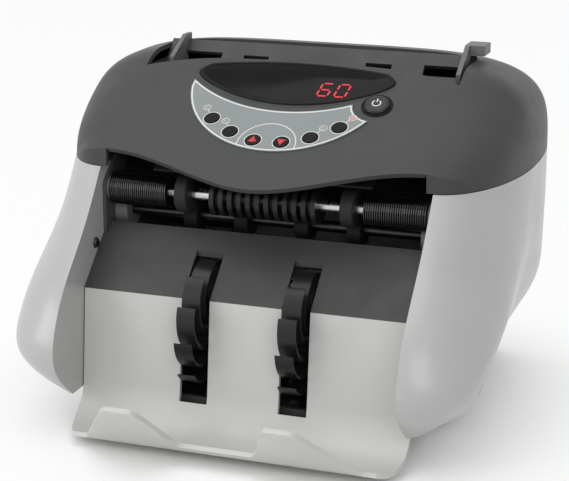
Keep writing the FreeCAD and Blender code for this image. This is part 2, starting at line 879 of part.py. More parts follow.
def plunger(label, across, up, cap_r, proud, travel):
    """A round key: cap, retaining flange under the skin and stem above the board."""
    stem_low = f"{travel} + fit_gap - board_depth"
    flange_low = "-wall - fit_gap - key_flange"
    corners = [
        ("0", stem_low),
        (f"{cap_r} / 2", stem_low),
        (f"{cap_r} / 2", flange_low),
        (f"{cap_r} + key_flange", flange_low),
        (f"{cap_r} + key_flange", "-wall - fit_gap"),
        (cap_r, "-wall - fit_gap"),
        (cap_r, f"{proud} - key_break"),
        (f"{cap_r} - key_break", proud),
        ("0", proud),
    ]
    return node(label, turned(label, corners, "V_Axis"), on_console(across, up))


for key, (key_x, key_s) in KEYS.items():
    plunger(key, key_x, key_s, "key_r", "key_proud", "key_travel")
plunger("start_button", mm.start_x, mm.start_s, "start_r", "start_proud", "start_travel")

lamp_parts = []
for lamp_x, lamp_s in LAMPS:
    lamp = turned(f"lamp{len(lamp_parts)}", [
        ("0", "-board_depth"),
        ("lamp_r", "-board_depth"),
        ("lamp_r", "pad_glue + pad_thick"),
        ("lamp_r / 2", "pad_glue + pad_thick + lamp_r / 3"),
        ("0", "pad_glue + pad_thick + lamp_r / 3"),
    ], "V_Axis")
    lamp.Placement = on_console(lamp_x, lamp_s)
    lamp_parts.append(lamp)
group("indicator_lenses", lamp_parts)


def keypad_panel():
    """A crescent overlay on a line of glue: two arcs, hollowed round the start button."""
    low_centre = mm.pad_low + mm.pad_low_r
    high_centre = mm.pad_high + mm.pad_high_r
    moon = Part.makeCylinder(mm.pad_low_r, mm.pad_thick, Vector(0, low_centre, 0))
    moon = moon.cut(Part.makeCylinder(mm.pad_high_r, mm.pad_thick, Vector(0, high_centre, 0)))
    trim = block(Vector(-mm.body_half, 0, 0), Vector(-mm.pad_left, mm.body_half, mm.pad_thick))
    moon = moon.cut(trim)
    moon = moon.cut(Part.makeCylinder(mm.pad_hollow_r, mm.pad_thick, Vector(mm.start_x, mm.start_s, 0)))
    right_end = Vector(mm.start_x - mm.wall / 2, 0, 0)
    moon = moon.cut(block(right_end, Vector(mm.body_half, mm.body_half, mm.pad_thick)))
    round_holes = [(place, mm.key_r) for place in KEYS.values()] + [(place, mm.lamp_r) for place in LAMPS]
    for (x, s), radius in round_holes:
        moon = moon.cut(Part.makeCylinder(radius + mm.fit_gap, mm.pad_thick, Vector(x, s, 0)))
    pieces = sorted(moon.Solids, key=lambda solid: solid.Volume)
    panel = pieces[-1]
    panel.Placement = on_console(0, 0, mm.pad_glue).multiply(panel.Placement)
    return panel


coded("keypad_panel", keypad_panel())


def display_lens():
    """A dark window set in the dish, with a flange behind the skin."""
    window = console_prism(lens_wire(0), -mm.wall, -mm.dish_depth + mm.fit_gap)
    flange = console_prism(lens_wire(mm.lens_flange), -mm.wall - mm.bed_thick, -mm.wall)
    return window.fuse(flange).removeSplitter()


coded("display_lens", display_lens())


def display_board():
    """The console's circuit board with the digit module behind the lens and a connector."""
    top = -mm.board_depth
    board = block(Vector(-mm.board_half, mm.board_low, top - mm.board_thick),
                  Vector(mm.board_half, mm.board_high, top))
    module_top = -mm.wall - mm.bed_thick - mm.fit_gap
    module = block(Vector(mm.up_key_x, mm.lens_low + mm.wall, top),
                   Vector(mm.outer_lamp_x, mm.board_high, module_top))
    plug = block(Vector(-mm.side_key_x, mm.lens_low, top),
                 Vector(-mm.up_key_x, mm.board_high, top + mm.wall))
    whole = board.fuse([module, plug])
    whole.Placement = CONSOLE.multiply(whole.Placement)
    return whole


coded("display_board", display_board())


# Base pan, feet and rear cover

def pan_outline(inset):
    """The pan's plan: a narrow nose behind the tray, then the full width between the side panels."""
    half = f"(bay_half + wall - {inset})"
    nose = f"(pan_nose - {inset})"
    front = f"pan_front_y + {inset}"
    waist = f"pan_waist_y + {inset}"
    right = [(nose, front), (nose, waist), (half, waist), (half, f"rear_y - {inset}")]
    return right + [(f"-{x}", y) for x, y in reversed(right)]


pan = padded("base_pan", "XY_Plane", pan_outline("0"), "sole_z - foot_z")
rounded(pan, upright, "pan_corner")
pocket(pan, "XY_Plane", [pan_outline("wall")], "sole_z - foot_z - pan_floor", "sole_z - foot_z")
slots = []
for count in range(VENT_COUNT):
    x = f"(-bay_half / 2 + {count} * vent_pitch)"
    slots.append(rectangle(x, f"{x} + vent_width", "rear_y / 2 - vent_long", "rear_y / 2"))
pocket(pan, "XY_Plane", slots, "pan_floor * 2", "pan_floor * 2")
pan.Placement = Placement(Vector(0, 0, mm.foot_z), Rotation())
node("base_pan", pan)


foot = turned("foot", [
    ("0", "0"),
    ("foot_r - foot_z / 4", "0"),
    ("foot_r", "foot_z / 4"),
    ("foot_r", "foot_z"),
    ("0", "foot_z"),
], "V_Axis")
feet = []
for foot_x, foot_y in (
    (mm.pan_nose - mm.foot_inset, mm.pan_front_y + mm.foot_inset),
    (mm.bay_half - mm.foot_inset, mm.rear_y - mm.foot_inset),
):
    for sign in (-1, 1):
        copy = doc.addObject("Part::Compound", f"foot_{len(feet)}")
        copy.Links = [foot]
        copy.Placement = Placement(Vector(sign * foot_x, foot_y, 0), Rotation())
        feet.append(copy)
group("rubber_feet", feet)

rear = padded("rear_cover", "XZ_Plane", rectangle("-bay_half", "bay_half", "sole_z", "seam_z"), "wall")
grille = []
for count in range(VENT_COUNT):
    x = f"(vent_x + {count} * vent_pitch)"
    grille.append(rectangle(x, f"{x} + vent_width", "vent_z", "vent_z + vent_long"))
grille.append(rectangle("inlet_x - inlet_wide / 2", "inlet_x + inlet_wide / 2",
                        "inlet_z - inlet_high / 2", "inlet_z + inlet_high / 2"))
grille.append(rectangle("switch_x - switch_wide / 2", "switch_x + switch_wide / 2",
                        "inlet_z - switch_high / 2", "inlet_z + switch_high / 2"))
pocket(rear, "XZ_Plane", grille, "wall * 2", "wall * 1.5")
REAR_FACE = mm.rear_y - mm.rear_inset
ROCKER_AXIS = (REAR_FACE - mm.wall, mm.inlet_z)
node("rear_cover", rear, Placement(Vector(0, REAR_FACE, 0), Rotation()))


# Stacker tray: a forward-leaning lip, a round trough and a steep plate of one thickness

def flat(y, z, x=0.0):
    """A point of a side view."""
    return Vector(x, y, z)


PLATE_UP = flat(math.cos(math.radians(mm.plate_deg)), math.sin(math.radians(mm.plate_deg)))
LIP_UP = flat(-math.cos(math.radians(mm.lip_deg)), math.sin(math.radians(mm.lip_deg)))
PLATE_BACK = flat(PLATE_UP.z, -PLATE_UP.y)
LIP_BACK = flat(-LIP_UP.z, LIP_UP.y)


def tray_corner():
    """Where the lines of the plate and of the lip would meet, below the trough."""
    lip = flat(mm.lip_top_y, mm.lip_top_z)
    plate = flat(mm.plate_y, mm.plate_z)
    gap = lip - plate
    run = (gap.y * LIP_UP.z - gap.z * LIP_UP.y) / (PLATE_UP.y * LIP_UP.z - PLATE_UP.z * LIP_UP.y)
    return plate + PLATE_UP * run


TRAY_CORNER = tray_corner()


def up_plate(z):
    """The point of the plate's front face at a height."""
    return TRAY_CORNER + PLATE_UP * ((z - TRAY_CORNER.z) / PLATE_UP.z)


def tray_profile():
    half = PLATE_UP.getAngle(LIP_UP) / 2
    inward = (PLATE_UP + LIP_UP).normalize()
    centre = TRAY_CORNER + inward * (mm.trough_r / math.sin(half))
    reach = mm.trough_r / math.tan(half)
    lip_end = flat(mm.lip_top_y, mm.lip_top_z) + LIP_UP * mm.tray_thick * 2
    on_lip = TRAY_CORNER + LIP_UP * reach
    on_plate = TRAY_CORNER + PLATE_UP * reach
    top = up_plate(mm.tray_top_z)
    lip_skin = LIP_BACK * mm.tray_thick
    plate_skin = PLATE_BACK * mm.tray_thick
    floor = centre - inward * mm.trough_r
    under = centre - inward * (mm.trough_r + mm.tray_thick)
    edges = [
        Part.makeLine(lip_end, on_lip),
        Part.Arc(on_lip, floor, on_plate).toShape(),
        Part.makeLine(on_plate, top),
        Part.makeLine(top, top + plate_skin),
        Part.makeLine(top + plate_skin, on_plate + plate_skin),
        Part.Arc(on_plate + plate_skin, under, on_lip + lip_skin).toShape(),
        Part.makeLine(on_lip + lip_skin, lip_end + lip_skin),
        Part.makeLine(lip_end + lip_skin, lip_end),
    ]
    return Part.Wire(edges)


def wheel_slots(low_z, high_z, rear_y):
    """Two upright slots for the finger wheels, cut through from the front as far as rear_y."""
    tools = []
    for x in (-mm.slot_x, mm.slot_x):
        low = Vector(x - mm.slot_width / 2, mm.plate_y - mm.trough_r, low_z)
        tools.append(block(low, Vector(x + mm.slot_width / 2, rear_y, high_z)))
    return tools


def lip_outline():
    """What is cut from the lip in a front view: the finger notch and the two falling ends."""
    over = mm.lip_top_z + mm.trough_r
    side = mm.bay_half + mm.trough_r
    right = [
        (mm.lip_cut_half, mm.lip_cut_z, mm.notch_round),
        (mm.lobe_in, mm.lip_top_z, mm.lobe_round),
        (mm.lobe_out, mm.lip_top_z, mm.lobe_round),
        (mm.lip_end_half, mm.lip_end_z, mm.lobe_round),
        (side, mm.lip_end_z, 0.0),
        (side, over, 0.0),
    ]
    left = [(-x, z, radius) for x, z, radius in reversed(right)]
    corners = right + left
    far_y = mm.lip_top_y - mm.trough_r
    points = [Vector(x, far_y, z) for x, z, radius in corners]
    radii = [radius for x, z, radius in corners]
    return prism(rounded_wire(points, radii), Vector(0, mm.lip_front_y - far_y, 0))


def tray_end(sign):
    """What rounds a front corner of the tray in plan."""
    x_out = mm.bay_half * sign
    x_in = mm.lip_end_half * sign
    far_y = mm.lip_top_y - mm.trough_r
    front = mm.lip_front_y - mm.trough_r / 2
    start = Vector(x_out, mm.tray_end_y, 0)
    curve = bezier([start, Vector(x_out - sign * mm.wall, front + mm.wall, 0), Vector(x_in, front, 0)])
    rest = wire([
        Vector(x_in, front, 0),
        Vector(x_in, far_y, 0),
        Vector(x_out * 2, far_y, 0),
        Vector(x_out * 2, mm.tray_end_y, 0),
        start,
    ], closed=False)
    return prism(Part.Wire([curve] + rest.Edges), Vector(0, 0, mm.sole_z))


def stacker_tray():
    tray = prism(tray_profile(), Vector(2 * mm.bay_half, 0, 0))
    tray.translate(Vector(-mm.bay_half, 0, 0))
    tools = wheel_slots(mm.slot_low_z, mm.tray_top_z + mm.wall, mm.stack_y)
    return tray.cut(tools + [lip_outline(), tray_end(-1), tray_end(1)])


def cross(first, second):
    """The X part of a cross product of two side-view vectors."""
    return first.y * second.z - first.z * second.y


def stacker_back_plate():
    """A sheet from the tray's top edge up the note path's slope, slotted for the finger wheels."""
    slope = math.radians(mm.path_deg)
    along = flat(math.cos(slope), math.sin(slope))
    under = flat(along.z, -along.y) * mm.tray_thick
    low = up_plate(mm.tray_top_z)
    high = low + along * mm.back_long
    foot = low + under - along * (cross(under, PLATE_BACK) / cross(along, PLATE_BACK))
    plate = prism(wire([low, high, high + under, foot]), Vector(2 * mm.bay_half, 0, 0))
    plate.translate(Vector(-mm.bay_half, 0, 0))
    slot_top = low.z + mm.back_slot * along.z
    tools = wheel_slots(mm.tray_top_z - mm.wall, slot_top, low.y + mm.back_slot * along.y)
    x_out = FRAME_IN - mm.fit_gap
    for x in (x_out, -mm.bay_half):
        corner = Vector(x, mm.neck_y - mm.fit_gap, mm.tray_top_z)
        tools.append(block(corner, corner + Vector(mm.bay_half - x_out, mm.wall * 5, mm.wall * 15)))
    return plate.cut(tools)


coded("stacker_tray", stacker_tray())
coded("stacker_back_plate", stacker_back_plate())


def wall_screw():
    """A screw head with a crossed recess on the stacker's +X wall."""
    centre = Vector(mm.bay_half, mm.wall_screw_y, mm.wall_screw_z)
    tip_r = mm.wall_screw_r - mm.wall_screw_proud / 2
    head = Part.makeCone(mm.wall_screw_r, tip_r, mm.wall_screw_proud, centre, Vector(-1, 0, 0))
    deep = mm.wall_screw_proud / 2
    face = centre - Vector(mm.wall_screw_proud, 0, 0)
    for size in ((mm.recess_long, mm.recess_wide), (mm.recess_wide, mm.recess_long)):
        half = Vector(deep, size[0] / 2, size[1] / 2)
        head = head.cut(block(face - half, face + half))
    return head


RIGHT_SCREW = wall_screw()
coded("wall_screws", Part.makeCompound([RIGHT_SCREW, RIGHT_SCREW.mirror(MIDDLE, ACROSS)]))


# Frame plates, tie bars and shaft bushes

SHAFTS = {
    "stacker": STACK_AXIS,
    "exit": EXIT_AXIS,
    "drive": DRIVE_AXIS,
    "feed": FEED_AXIS,
    "pickup": PICKUP_AXIS,
}
BARS = [
    (mm.bar_front_y, mm.bar_low_z),
    (mm.bar_rear_y, mm.bar_low_z),
    (mm.bar_rear_y, mm.bar_high_z),
]


def frame_plate(x_from, extra):
    """A steel side plate, bored for the bushes, the bars and the fixed retard axle."""
    floor = mm.foot_z + mm.pan_floor
    corners = [
        (mm.pan_waist_y + mm.pan_corner, floor),
        (mm.pan_waist_y + mm.pan_corner, mm.sole_z),
        (mm.frame_front_y, mm.stack_z - mm.bush_flange_r * 2),
        (mm.frame_front_y, mm.stack_z + mm.bush_flange_r * 2),
        (mm.neck_y, mm.neck_z),
        (mm.neck_y, DOME_Z),
        (mm.slope_end_y + mm.wall, mm.frame_top_z),
        (mm.hopper_rear_y + mm.bush_flange_r, mm.frame_top_z),
        (mm.frame_rear_y, mm.bar_high_z),
        (mm.frame_rear_y, floor),
    ]
    points = [Vector(x_from, y, z) for y, z in corners]
    radii = [mm.bar_r] * len(points)
    radii[0] = 0.0
    radii[1] = 0.0
    radii[-1] = 0.0
    plate = prism(rounded_wire(points, radii), Vector(mm.frame_thick, 0, 0))
    bores = [(axis, mm.bush_r) for axis in list(SHAFTS.values()) + extra]
    bores += [(axis, mm.bar_r) for axis in BARS]
    bores.append((RETARD_AXIS, mm.shaft_r))
    x_start = x_from - mm.wall
    x_end = x_from + mm.frame_thick + mm.wall
    return plate.cut([through_hole(axis, radius, x_start, x_end) for axis, radius in bores])


coded("right_frame_plate", frame_plate(FRAME_IN, []))
coded("left_frame_plate", frame_plate(-mm.bay_half, [MOTOR_AXIS]))


def rod(label, radius, x_from, x_to, axis):
    """A round bar along X between two places given as expressions."""
    bar = doc.addObject("Part::Cylinder", label)
    bar.setExpression("Radius", bound(radius))
    bar.setExpression("Height", bound(f"({x_to}) - ({x_from})"))
    bar.Placement = Placement(Vector(evaluate(x_from), *axis), Rotation(Vector(0, 0, 1), Vector(1, 0, 0)))
    return bar


bars = [rod(f"bar{index}", "bar_r", "-bay_half", "bay_half", axis) for index, axis in enumerate(BARS)]
group("frame_tie_bars", bars)
node("retard_axle", rod("retard_axle", "shaft_r", "-bay_half", "bay_half", RETARD_AXIS))


def ring(name, x_mid, width, radius, bore):
    """A plain roller with broken edges, bored for its shaft."""
    left = f"{x_mid} - {width} / 2"
    right = f"{x_mid} + {width} / 2"
    return turned(name, [
        (left, bore),
        (right, bore),
        (right, f"{radius} - edge_break"),
        (f"{right} - edge_break", radius),
        (f"{left} + edge_break", radius),
        (left, f"{radius} - edge_break"),
    ])


retard = ring("retard", "feed_in_x", "retard_width", "retard_r", "shaft_r")
retard.Placement = at(RETARD_AXIS)
group("retard_roller", [retard, mirrored(retard)])

bushes = []
for name, axis in SHAFTS.items():
    flange_r = "boss_r" if name == "drive" else "bush_flange_r"
    flange_long = "boss_long" if name == "drive" else "bush_flange"
    flange_x = f"(bay_half - frame_thick - {flange_long})"
    bush = turned(f"{name}_bush", [
        (flange_x, "shaft_r + run_gap"),
        ("bay_half", "shaft_r + run_gap"),
        ("bay_half", "bush_r"),
        ("bay_half - frame_thick", "bush_r"),
        ("bay_half - frame_thick", flange_r),
        (flange_x, flange_r),
    ])
    bush.Placement = at(axis)
    bushes += [bush, mirrored(bush)]
group("shaft_bushes", bushes)


# Shafts with their rollers, wheels, gears and pulleys

PULLEY_WIDE = "(tread_width + 2 * flange_thick)"
LEFT_ONE = f"-plane_one - {PULLEY_WIDE}"
LEFT_TWO = f"-plane_two - {PULLEY_WIDE}"
RIGHT_ONE = f"plane_one + {PULLEY_WIDE}"
RIGHT_TWO = f"plane_two + {PULLEY_WIDE}"
STUB = "bay_half + frame_thick"


def pulley(name, plane, tread, axis, side):
    """A flanged belt pulley on one of the two belt planes beyond a side wall."""
    corners = [
        (plane, "shaft_r"),
        (f"{plane} + {PULLEY_WIDE}", "shaft_r"),
        (f"{plane} + {PULLEY_WIDE}", f"{tread} + flange_high"),
        (f"{plane} + {PULLEY_WIDE} - flange_thick", f"{tread} + flange_high"),
        (f"{plane} + {PULLEY_WIDE} - flange_thick", tread),
        (f"{plane} + flange_thick", tread),
        (f"{plane} + flange_thick", f"{tread} + flange_high"),
        (plane, f"{tread} + flange_high"),
    ]
    if side < 0:
        corners = [(f"-({along})", radius) for along, radius in corners]
    wheel = turned(name, corners)
    wheel.Placement = at(axis)
    return wheel


def gear(axis, toward, plane, width, half_step):
    """A spur gear with straight-sided teeth, one tooth or one gap facing another axis."""
    root_r = GEAR_PITCH - mm.gear_module * TOOTH_DEPTH
    teeth = round(mm.gear_teeth)
    facing = math.atan2(toward[1] - axis[1], toward[0] - axis[0])
    step = 2 * math.pi / teeth
    points = []
    for tooth in range(teeth):
        middle = facing + step * (tooth + half_step)
        for turn, radius in zip(TOOTH_TURNS, (root_r, GEAR_TIP, GEAR_TIP, root_r)):
            angle = middle + turn * step
            y = axis[0] + radius * math.cos(angle)
            points.append(Vector(plane, y, axis[1] + radius * math.sin(angle)))
    wheel = prism(wire(points), Vector(width, 0, 0))
    return wheel.cut(through_hole(axis, mm.shaft_r, plane - mm.wall, plane + width + mm.wall))


GEAR_X = -mm.gear_x - mm.gear_wide

node("exit_shaft", rod("exit_shaft", "shaft_r", LEFT_ONE, STUB, EXIT_AXIS))
spool = turned("spool", [
    ("0", "shaft_r"),
    ("disc_pitch + disc_thick", "shaft_r"),
    ("disc_pitch + disc_thick", "exit_r"),
    ("disc_pitch", "exit_r"),
    ("disc_pitch", "disc_hub_r"),
    ("disc_thick", "disc_hub_r"),
    ("disc_thick", "exit_r"),
    ("0", "exit_r"),
])
spool_start = -((2 * DISC_PAIRS - 1) * mm.disc_pitch + mm.disc_thick) / 2
spool.Placement = at(EXIT_AXIS, spool_start)
group("exit_discs", shifted(spool, Vector(2 * mm.disc_pitch, 0, 0), DISC_PAIRS))
tyre = ring("tyre", "tyre_x", "tyre_width", "exit_r", "shaft_r")
tyre.Placement = at(EXIT_AXIS)
group("exit_tyres", [tyre, mirrored(tyre)])
ribs = [("rib_in", "shaft_r"), ("rib_out", "shaft_r")]
for rib in range(RIB_COUNT, 0, -1):
    ribs.append((f"rib_in + (rib_out - rib_in) * {rib} / {RIB_COUNT}", "rib_r - rib_depth"))
    ribs.append((f"rib_in + (rib_out - rib_in) * ({rib} - 0.5) / {RIB_COUNT}", "rib_r"))
ribs.append(("rib_in", "rib_r - rib_depth"))
ribbed = turned("ribbed", ribs)
ribbed.Placement = at(EXIT_AXIS)
group("ribbed_rollers", [ribbed, mirrored(ribbed)])
coded("exit_gear", gear(EXIT_AXIS, DRIVE_AXIS, GEAR_X, mm.gear_wide, 0.5))

node("drive_shaft", rod("drive_shaft", "shaft_r", LEFT_TWO, RIGHT_TWO, DRIVE_AXIS))
DRIVE_RADIUS = "(gear_teeth * gear_module - exit_r - nip)"
drive_rings = []
for name, middle in (("drive_inner", "drive_in_x"), ("drive_outer", "tyre_x")):
    roller = ring(name, middle, "drive_width", DRIVE_RADIUS, "shaft_r")
    roller.Placement = at(DRIVE_AXIS)
    drive_rings += [roller, mirrored(roller)]
group("drive_rollers", drive_rings)
coded("drive_gear", gear(DRIVE_AXIS, EXIT_AXIS, GEAR_X, mm.gear_wide, 0.0))
group("drive_pulleys", [
    pulley("drive_pulley_right", "plane_two", "drive_small_r", DRIVE_AXIS, 1),
    pulley("drive_pulley_left", "plane_two", "drive_tread_r", DRIVE_AXIS, -1),
])

node("feed_shaft", rod("feed_shaft", "shaft_r", LEFT_ONE, RIGHT_TWO, FEED_AXIS))
feed_rings = []
for name, middle in (("feed_inner", "feed_in_x"), ("feed_outer", "feed_out_x")):
    roller = ring(name, middle, "feed_width", "feed_r", "shaft_r")
    roller.Placement = at(FEED_AXIS)
    feed_rings += [roller, mirrored(roller)]
group("feed_rollers", feed_rings)
group("feed_pulleys", [
    pulley("feed_pulley_left", "plane_one", "feed_tread_r", FEED_AXIS, -1),
    pulley("feed_pulley_right", "plane_one", "pickup_tread_r", FEED_AXIS, 1),
    pulley("feed_pulley_outer", "plane_two", "feed_big_r", FEED_AXIS, 1),
])

node("pickup_shaft", rod("pickup_shaft", "shaft_r", f"-({STUB})", RIGHT_ONE, PICKUP_AXIS))
pickup = ring("pickup", "pickup_x", "pickup_width", "pickup_r", "shaft_r")
pickup.Placement = at(PICKUP_AXIS)
group("pickup_rollers", [pickup, mirrored(pickup)])
node("pickup_pulley", pulley("pickup_pulley", "plane_one", "pickup_tread_r", PICKUP_AXIS, 1))

node("stacker_shaft", rod("stacker_shaft", "shaft_r", LEFT_TWO, STUB, STACK_AXIS))
node("stacker_pulley", pulley("stacker_pulley", "plane_two", "stack_tread_r", STACK_AXIS, -1))


def wheel_point(x, radius, degrees):
    """A point of a finger wheel: degrees run from the top towards the front."""
    angle = math.radians(degrees)
    return Vector(x, mm.stack_y - radius * math.sin(angle), mm.stack_z + radius * math.cos(angle))


def stacker_wheel(x_mid):
    """A hub with swept-back tapering fingers, each between two arcs."""
    x = x_mid - mm.stack_width / 2
    wheel = Part.makeCylinder(mm.stack_hub_r, mm.stack_width, Vector(x, *STACK_AXIS), ACROSS)
    root_r = mm.stack_hub_r - mm.edge_break
    mid_r = (mm.stack_hub_r + mm.stack_r) / 2
    root_half = math.degrees(mm.blade_root / 2 / root_r)
    mid_half = math.degrees((mm.blade_root + mm.blade_tip) / 4 / mid_r)
    tip_half = math.degrees(mm.blade_tip / 2 / mm.stack_r)
    blades = []
    for count in range(BLADE_COUNT):
        start = 360.0 * count / BLADE_COUNT
        middle = start - mm.blade_lag * BLADE_BEND
        tip = start - mm.blade_lag
        lead_root = wheel_point(x, root_r, start + root_half)
        lead_tip = wheel_point(x, mm.stack_r, tip + tip_half)
        trail_tip = wheel_point(x, mm.stack_r, tip - tip_half)
        trail_root = wheel_point(x, root_r, start - root_half)
        edges = [
            Part.Arc(lead_root, wheel_point(x, mid_r, middle + mid_half), lead_tip).toShape(),
            Part.makeLine(lead_tip, trail_tip),
            Part.Arc(trail_tip, wheel_point(x, mid_r, middle - mid_half), trail_root).toShape(),
            Part.makeLine(trail_root, lead_root),
        ]
        blades.append(prism(Part.Wire(edges), Vector(mm.stack_width, 0, 0)))
    wheel = wheel.fuse(blades)
    bore = through_hole(STACK_AXIS, mm.shaft_r, x - mm.wall, x + mm.stack_width + mm.wall)
    return wheel.cut(bore).removeSplitter()


coded("left_stacker_wheel", stacker_wheel(-mm.slot_x))
coded("right_stacker_wheel", stacker_wheel(mm.slot_x))


# Motor and belts

motor = turned("motor", [
    ("bay_half - frame_thick - motor_long", "0"),
    ("bay_half - frame_thick - motor_long", "motor_cap_r"),
    ("bay_half - frame_thick - motor_long + wall", "motor_cap_r"),
    ("bay_half - frame_thick - motor_long + wall", "motor_r - edge_break * 2"),
    ("bay_half - frame_thick - motor_long + wall * 2", "motor_r"),
    ("bay_half - frame_thick", "motor_r"),
    ("bay_half - frame_thick", "shaft_r + run_gap"),
    ("bay_half - frame_thick - motor_long / 2", "shaft_r + run_gap"),
    ("bay_half - frame_thick - motor_long / 2", "0"),
])
motor.Placement = at(MOTOR_AXIS)
node("drive_motor", mirrored(motor))
motor_pulley = turned("motor_pulley", [
    (f"-plane_one - {PULLEY_WIDE}", "0"),
    ("-bay_half + frame_thick + motor_long / 3", "0"),
    ("-bay_half + frame_thick + motor_long / 3", "shaft_r"),
    ("-plane_one", "shaft_r"),
    ("-plane_one", "motor_tread_r + flange_high"),
    ("-plane_one - flange_thick", "motor_tread_r + flange_high"),
    ("-plane_one - flange_thick", "motor_tread_r"),
    ("-plane_one - flange_thick - tread_width", "motor_tread_r"),
    ("-plane_one - flange_thick - tread_width", "motor_tread_r + flange_high"),
    (f"-plane_one - {PULLEY_WIDE}", "motor_tread_r + flange_high"),
])
node("motor_pulley", motor_pulley, at(MOTOR_AXIS))


def loop_wire(first, first_r, second, second_r, x):
    """A closed line round two pulleys: two arcs joined by their outer tangents."""
    start = Vector(x, *first)
    end = Vector(x, *second)
    along = end - start
    lean = math.acos((first_r - second_r) / along.Length)
    unit = along.normalize()
    side = Vector(0, -unit.z, unit.y)

    def touch(centre, radius, sign):
        return centre + (unit * math.cos(lean) + side * (sign * math.sin(lean))) * radius

    return Part.Wire([
        Part.Arc(touch(start, first_r, -1), start - unit * first_r, touch(start, first_r, 1)).toShape(),
        Part.makeLine(touch(start, first_r, 1), touch(end, second_r, 1)),
        Part.Arc(touch(end, second_r, 1), end + unit * second_r, touch(end, second_r, -1)).toShape(),
        Part.makeLine(touch(end, second_r, -1), touch(start, first_r, -1)),
    ])


def belt(first, first_tread, second, second_tread, plane, side):
    """A flat belt that runs just clear of its two pulleys' treads."""
    inset = mm.flange_thick + (mm.tread_width - mm.belt_width) / 2
    x = plane + inset if side > 0 else -plane - inset - mm.belt_width
    span = Vector(mm.belt_width, 0, 0)
    inner = mm.belt_gap
    outer = mm.belt_gap + mm.belt_thick
    solid = prism(loop_wire(first, first_tread + outer, second, second_tread + outer, x), span)
    return solid.cut(prism(loop_wire(first, first_tread + inner, second, second_tread + inner, x), span))


coded("left_belts", Part.makeCompound([
    belt(MOTOR_AXIS, mm.motor_tread_r, FEED_AXIS, mm.feed_tread_r, mm.plane_one, -1),
    belt(DRIVE_AXIS, mm.drive_tread_r, STACK_AXIS, mm.stack_tread_r, mm.plane_two, -1),
]))
coded("right_belts", Part.makeCompound([
    belt(FEED_AXIS, mm.feed_big_r, DRIVE_AXIS, mm.drive_small_r, mm.plane_two, 1),
    belt(FEED_AXIS, mm.pickup_tread_r, PICKUP_AXIS, mm.pickup_tread_r, mm.plane_one, 1),
]))


# Hopper plate, note bed and upper guide along the note path

def path_plate(down_from, down_to, top_off, thick, half):
    """A flat plate that follows the note path between two places on its slope."""
    low_off = top_off - thick
    corners = [(down_from, top_off), (down_to, top_off), (down_to, low_off), (down_from, low_off)]
    return prism(wire([Vector(-half, *on_path(*corner)) for corner in corners]), Vector(2 * half, 0, 0))


def path_slot(x_mid, width, down_from, down_to):
    """An opening through a path plate."""
    reach = mm.feed_r
    corners = [(down_from, reach), (down_to, reach), (down_to, -reach), (down_from, -reach)]
    points = [Vector(x_mid - width / 2, *on_path(*corner)) for corner in corners]
    return prism(wire(points), Vector(width, 0, 0))


def chord(radius, depth):
    """Half the length of a roller's window in a plate that it passes through to a depth."""
    return math.sqrt(radius ** 2 - (radius - depth) ** 2) + mm.wall / 2


def hopper_plate():
    plate = path_plate(-mm.hopper_long, mm.bed_from, 0.0, mm.tray_thick, FRAME_IN)
    window = chord(mm.pickup_r, mm.tray_thick + mm.pickup_proud)
    tools = []
    for sign in (-1, 1):
        tools.append(path_slot(sign * mm.pickup_x, mm.pickup_width + mm.wall,
                               mm.pickup_s - window, mm.pickup_s + window))
        outer = mm.guide_x if sign > 0 else mm.left_guide_x
        middle = sign * (outer - mm.guide_travel / 2 + mm.guide_thick / 2)
        width = mm.guide_travel + mm.guide_thick + mm.fit_gap * 2
        low = mm.guide_slot_s - mm.guide_tongue - mm.fit_gap
        tools.append(path_slot(middle, width, low, mm.guide_slot_s + mm.guide_tongue + mm.fit_gap))
    return plate.cut(tools)


def note_bed():
    bed = path_plate(mm.bed_from, mm.exit_s - mm.exit_r - mm.wall, -mm.bed_gap, mm.bed_thick, FRAME_IN)
    window = chord(mm.feed_r, mm.bed_gap + mm.bed_thick)
    tools = []
    for x in (mm.feed_in_x, mm.feed_out_x):
        for sign in (-1, 1):
            tools.append(path_slot(sign * x, mm.feed_width + mm.wall, mm.feed_s - window, mm.feed_s + window))
    return bed.cut(tools)


def upper_guide():
    """The hopper's front wall, bent forward at its foot to cover the note path."""
    start = mm.bed_from
    end = mm.exit_s - mm.exit_r - mm.wall
    low = on_path(start, mm.guide_gap)
    high = on_path(start, mm.guide_gap + mm.bed_thick)
    wall_top = (mm.hopper_front_y + mm.wall, mm.seam_z + mm.guide_rise)
    points = [
        flat(*low),
        flat(*on_path(end, mm.guide_gap)),
        flat(*on_path(end, mm.guide_gap + mm.bed_thick)),
        flat(high[0] - mm.bed_thick, high[1]),
        flat(wall_top[0] - mm.bed_thick, wall_top[1]),
        flat(*wall_top),
    ]
    guide = prism(wire([Vector(-FRAME_IN, p.y, p.z) for p in points]), Vector(2 * FRAME_IN, 0, 0))
    window = mm.retard_r + mm.wall
    tools = [path_slot(sign * mm.feed_in_x, mm.feed_width + mm.wall, mm.feed_s - window, mm.feed_s + window)
             for sign in (-1, 1)]
    tools.append(through_hole(RETARD_AXIS, mm.shaft_r + mm.fit_gap, -mm.bay_half, mm.bay_half))
    return guide.cut(tools)


coded("hopper_plate", hopper_plate())
coded("note_bed", note_bed())
coded("upper_guide", upper_guide())


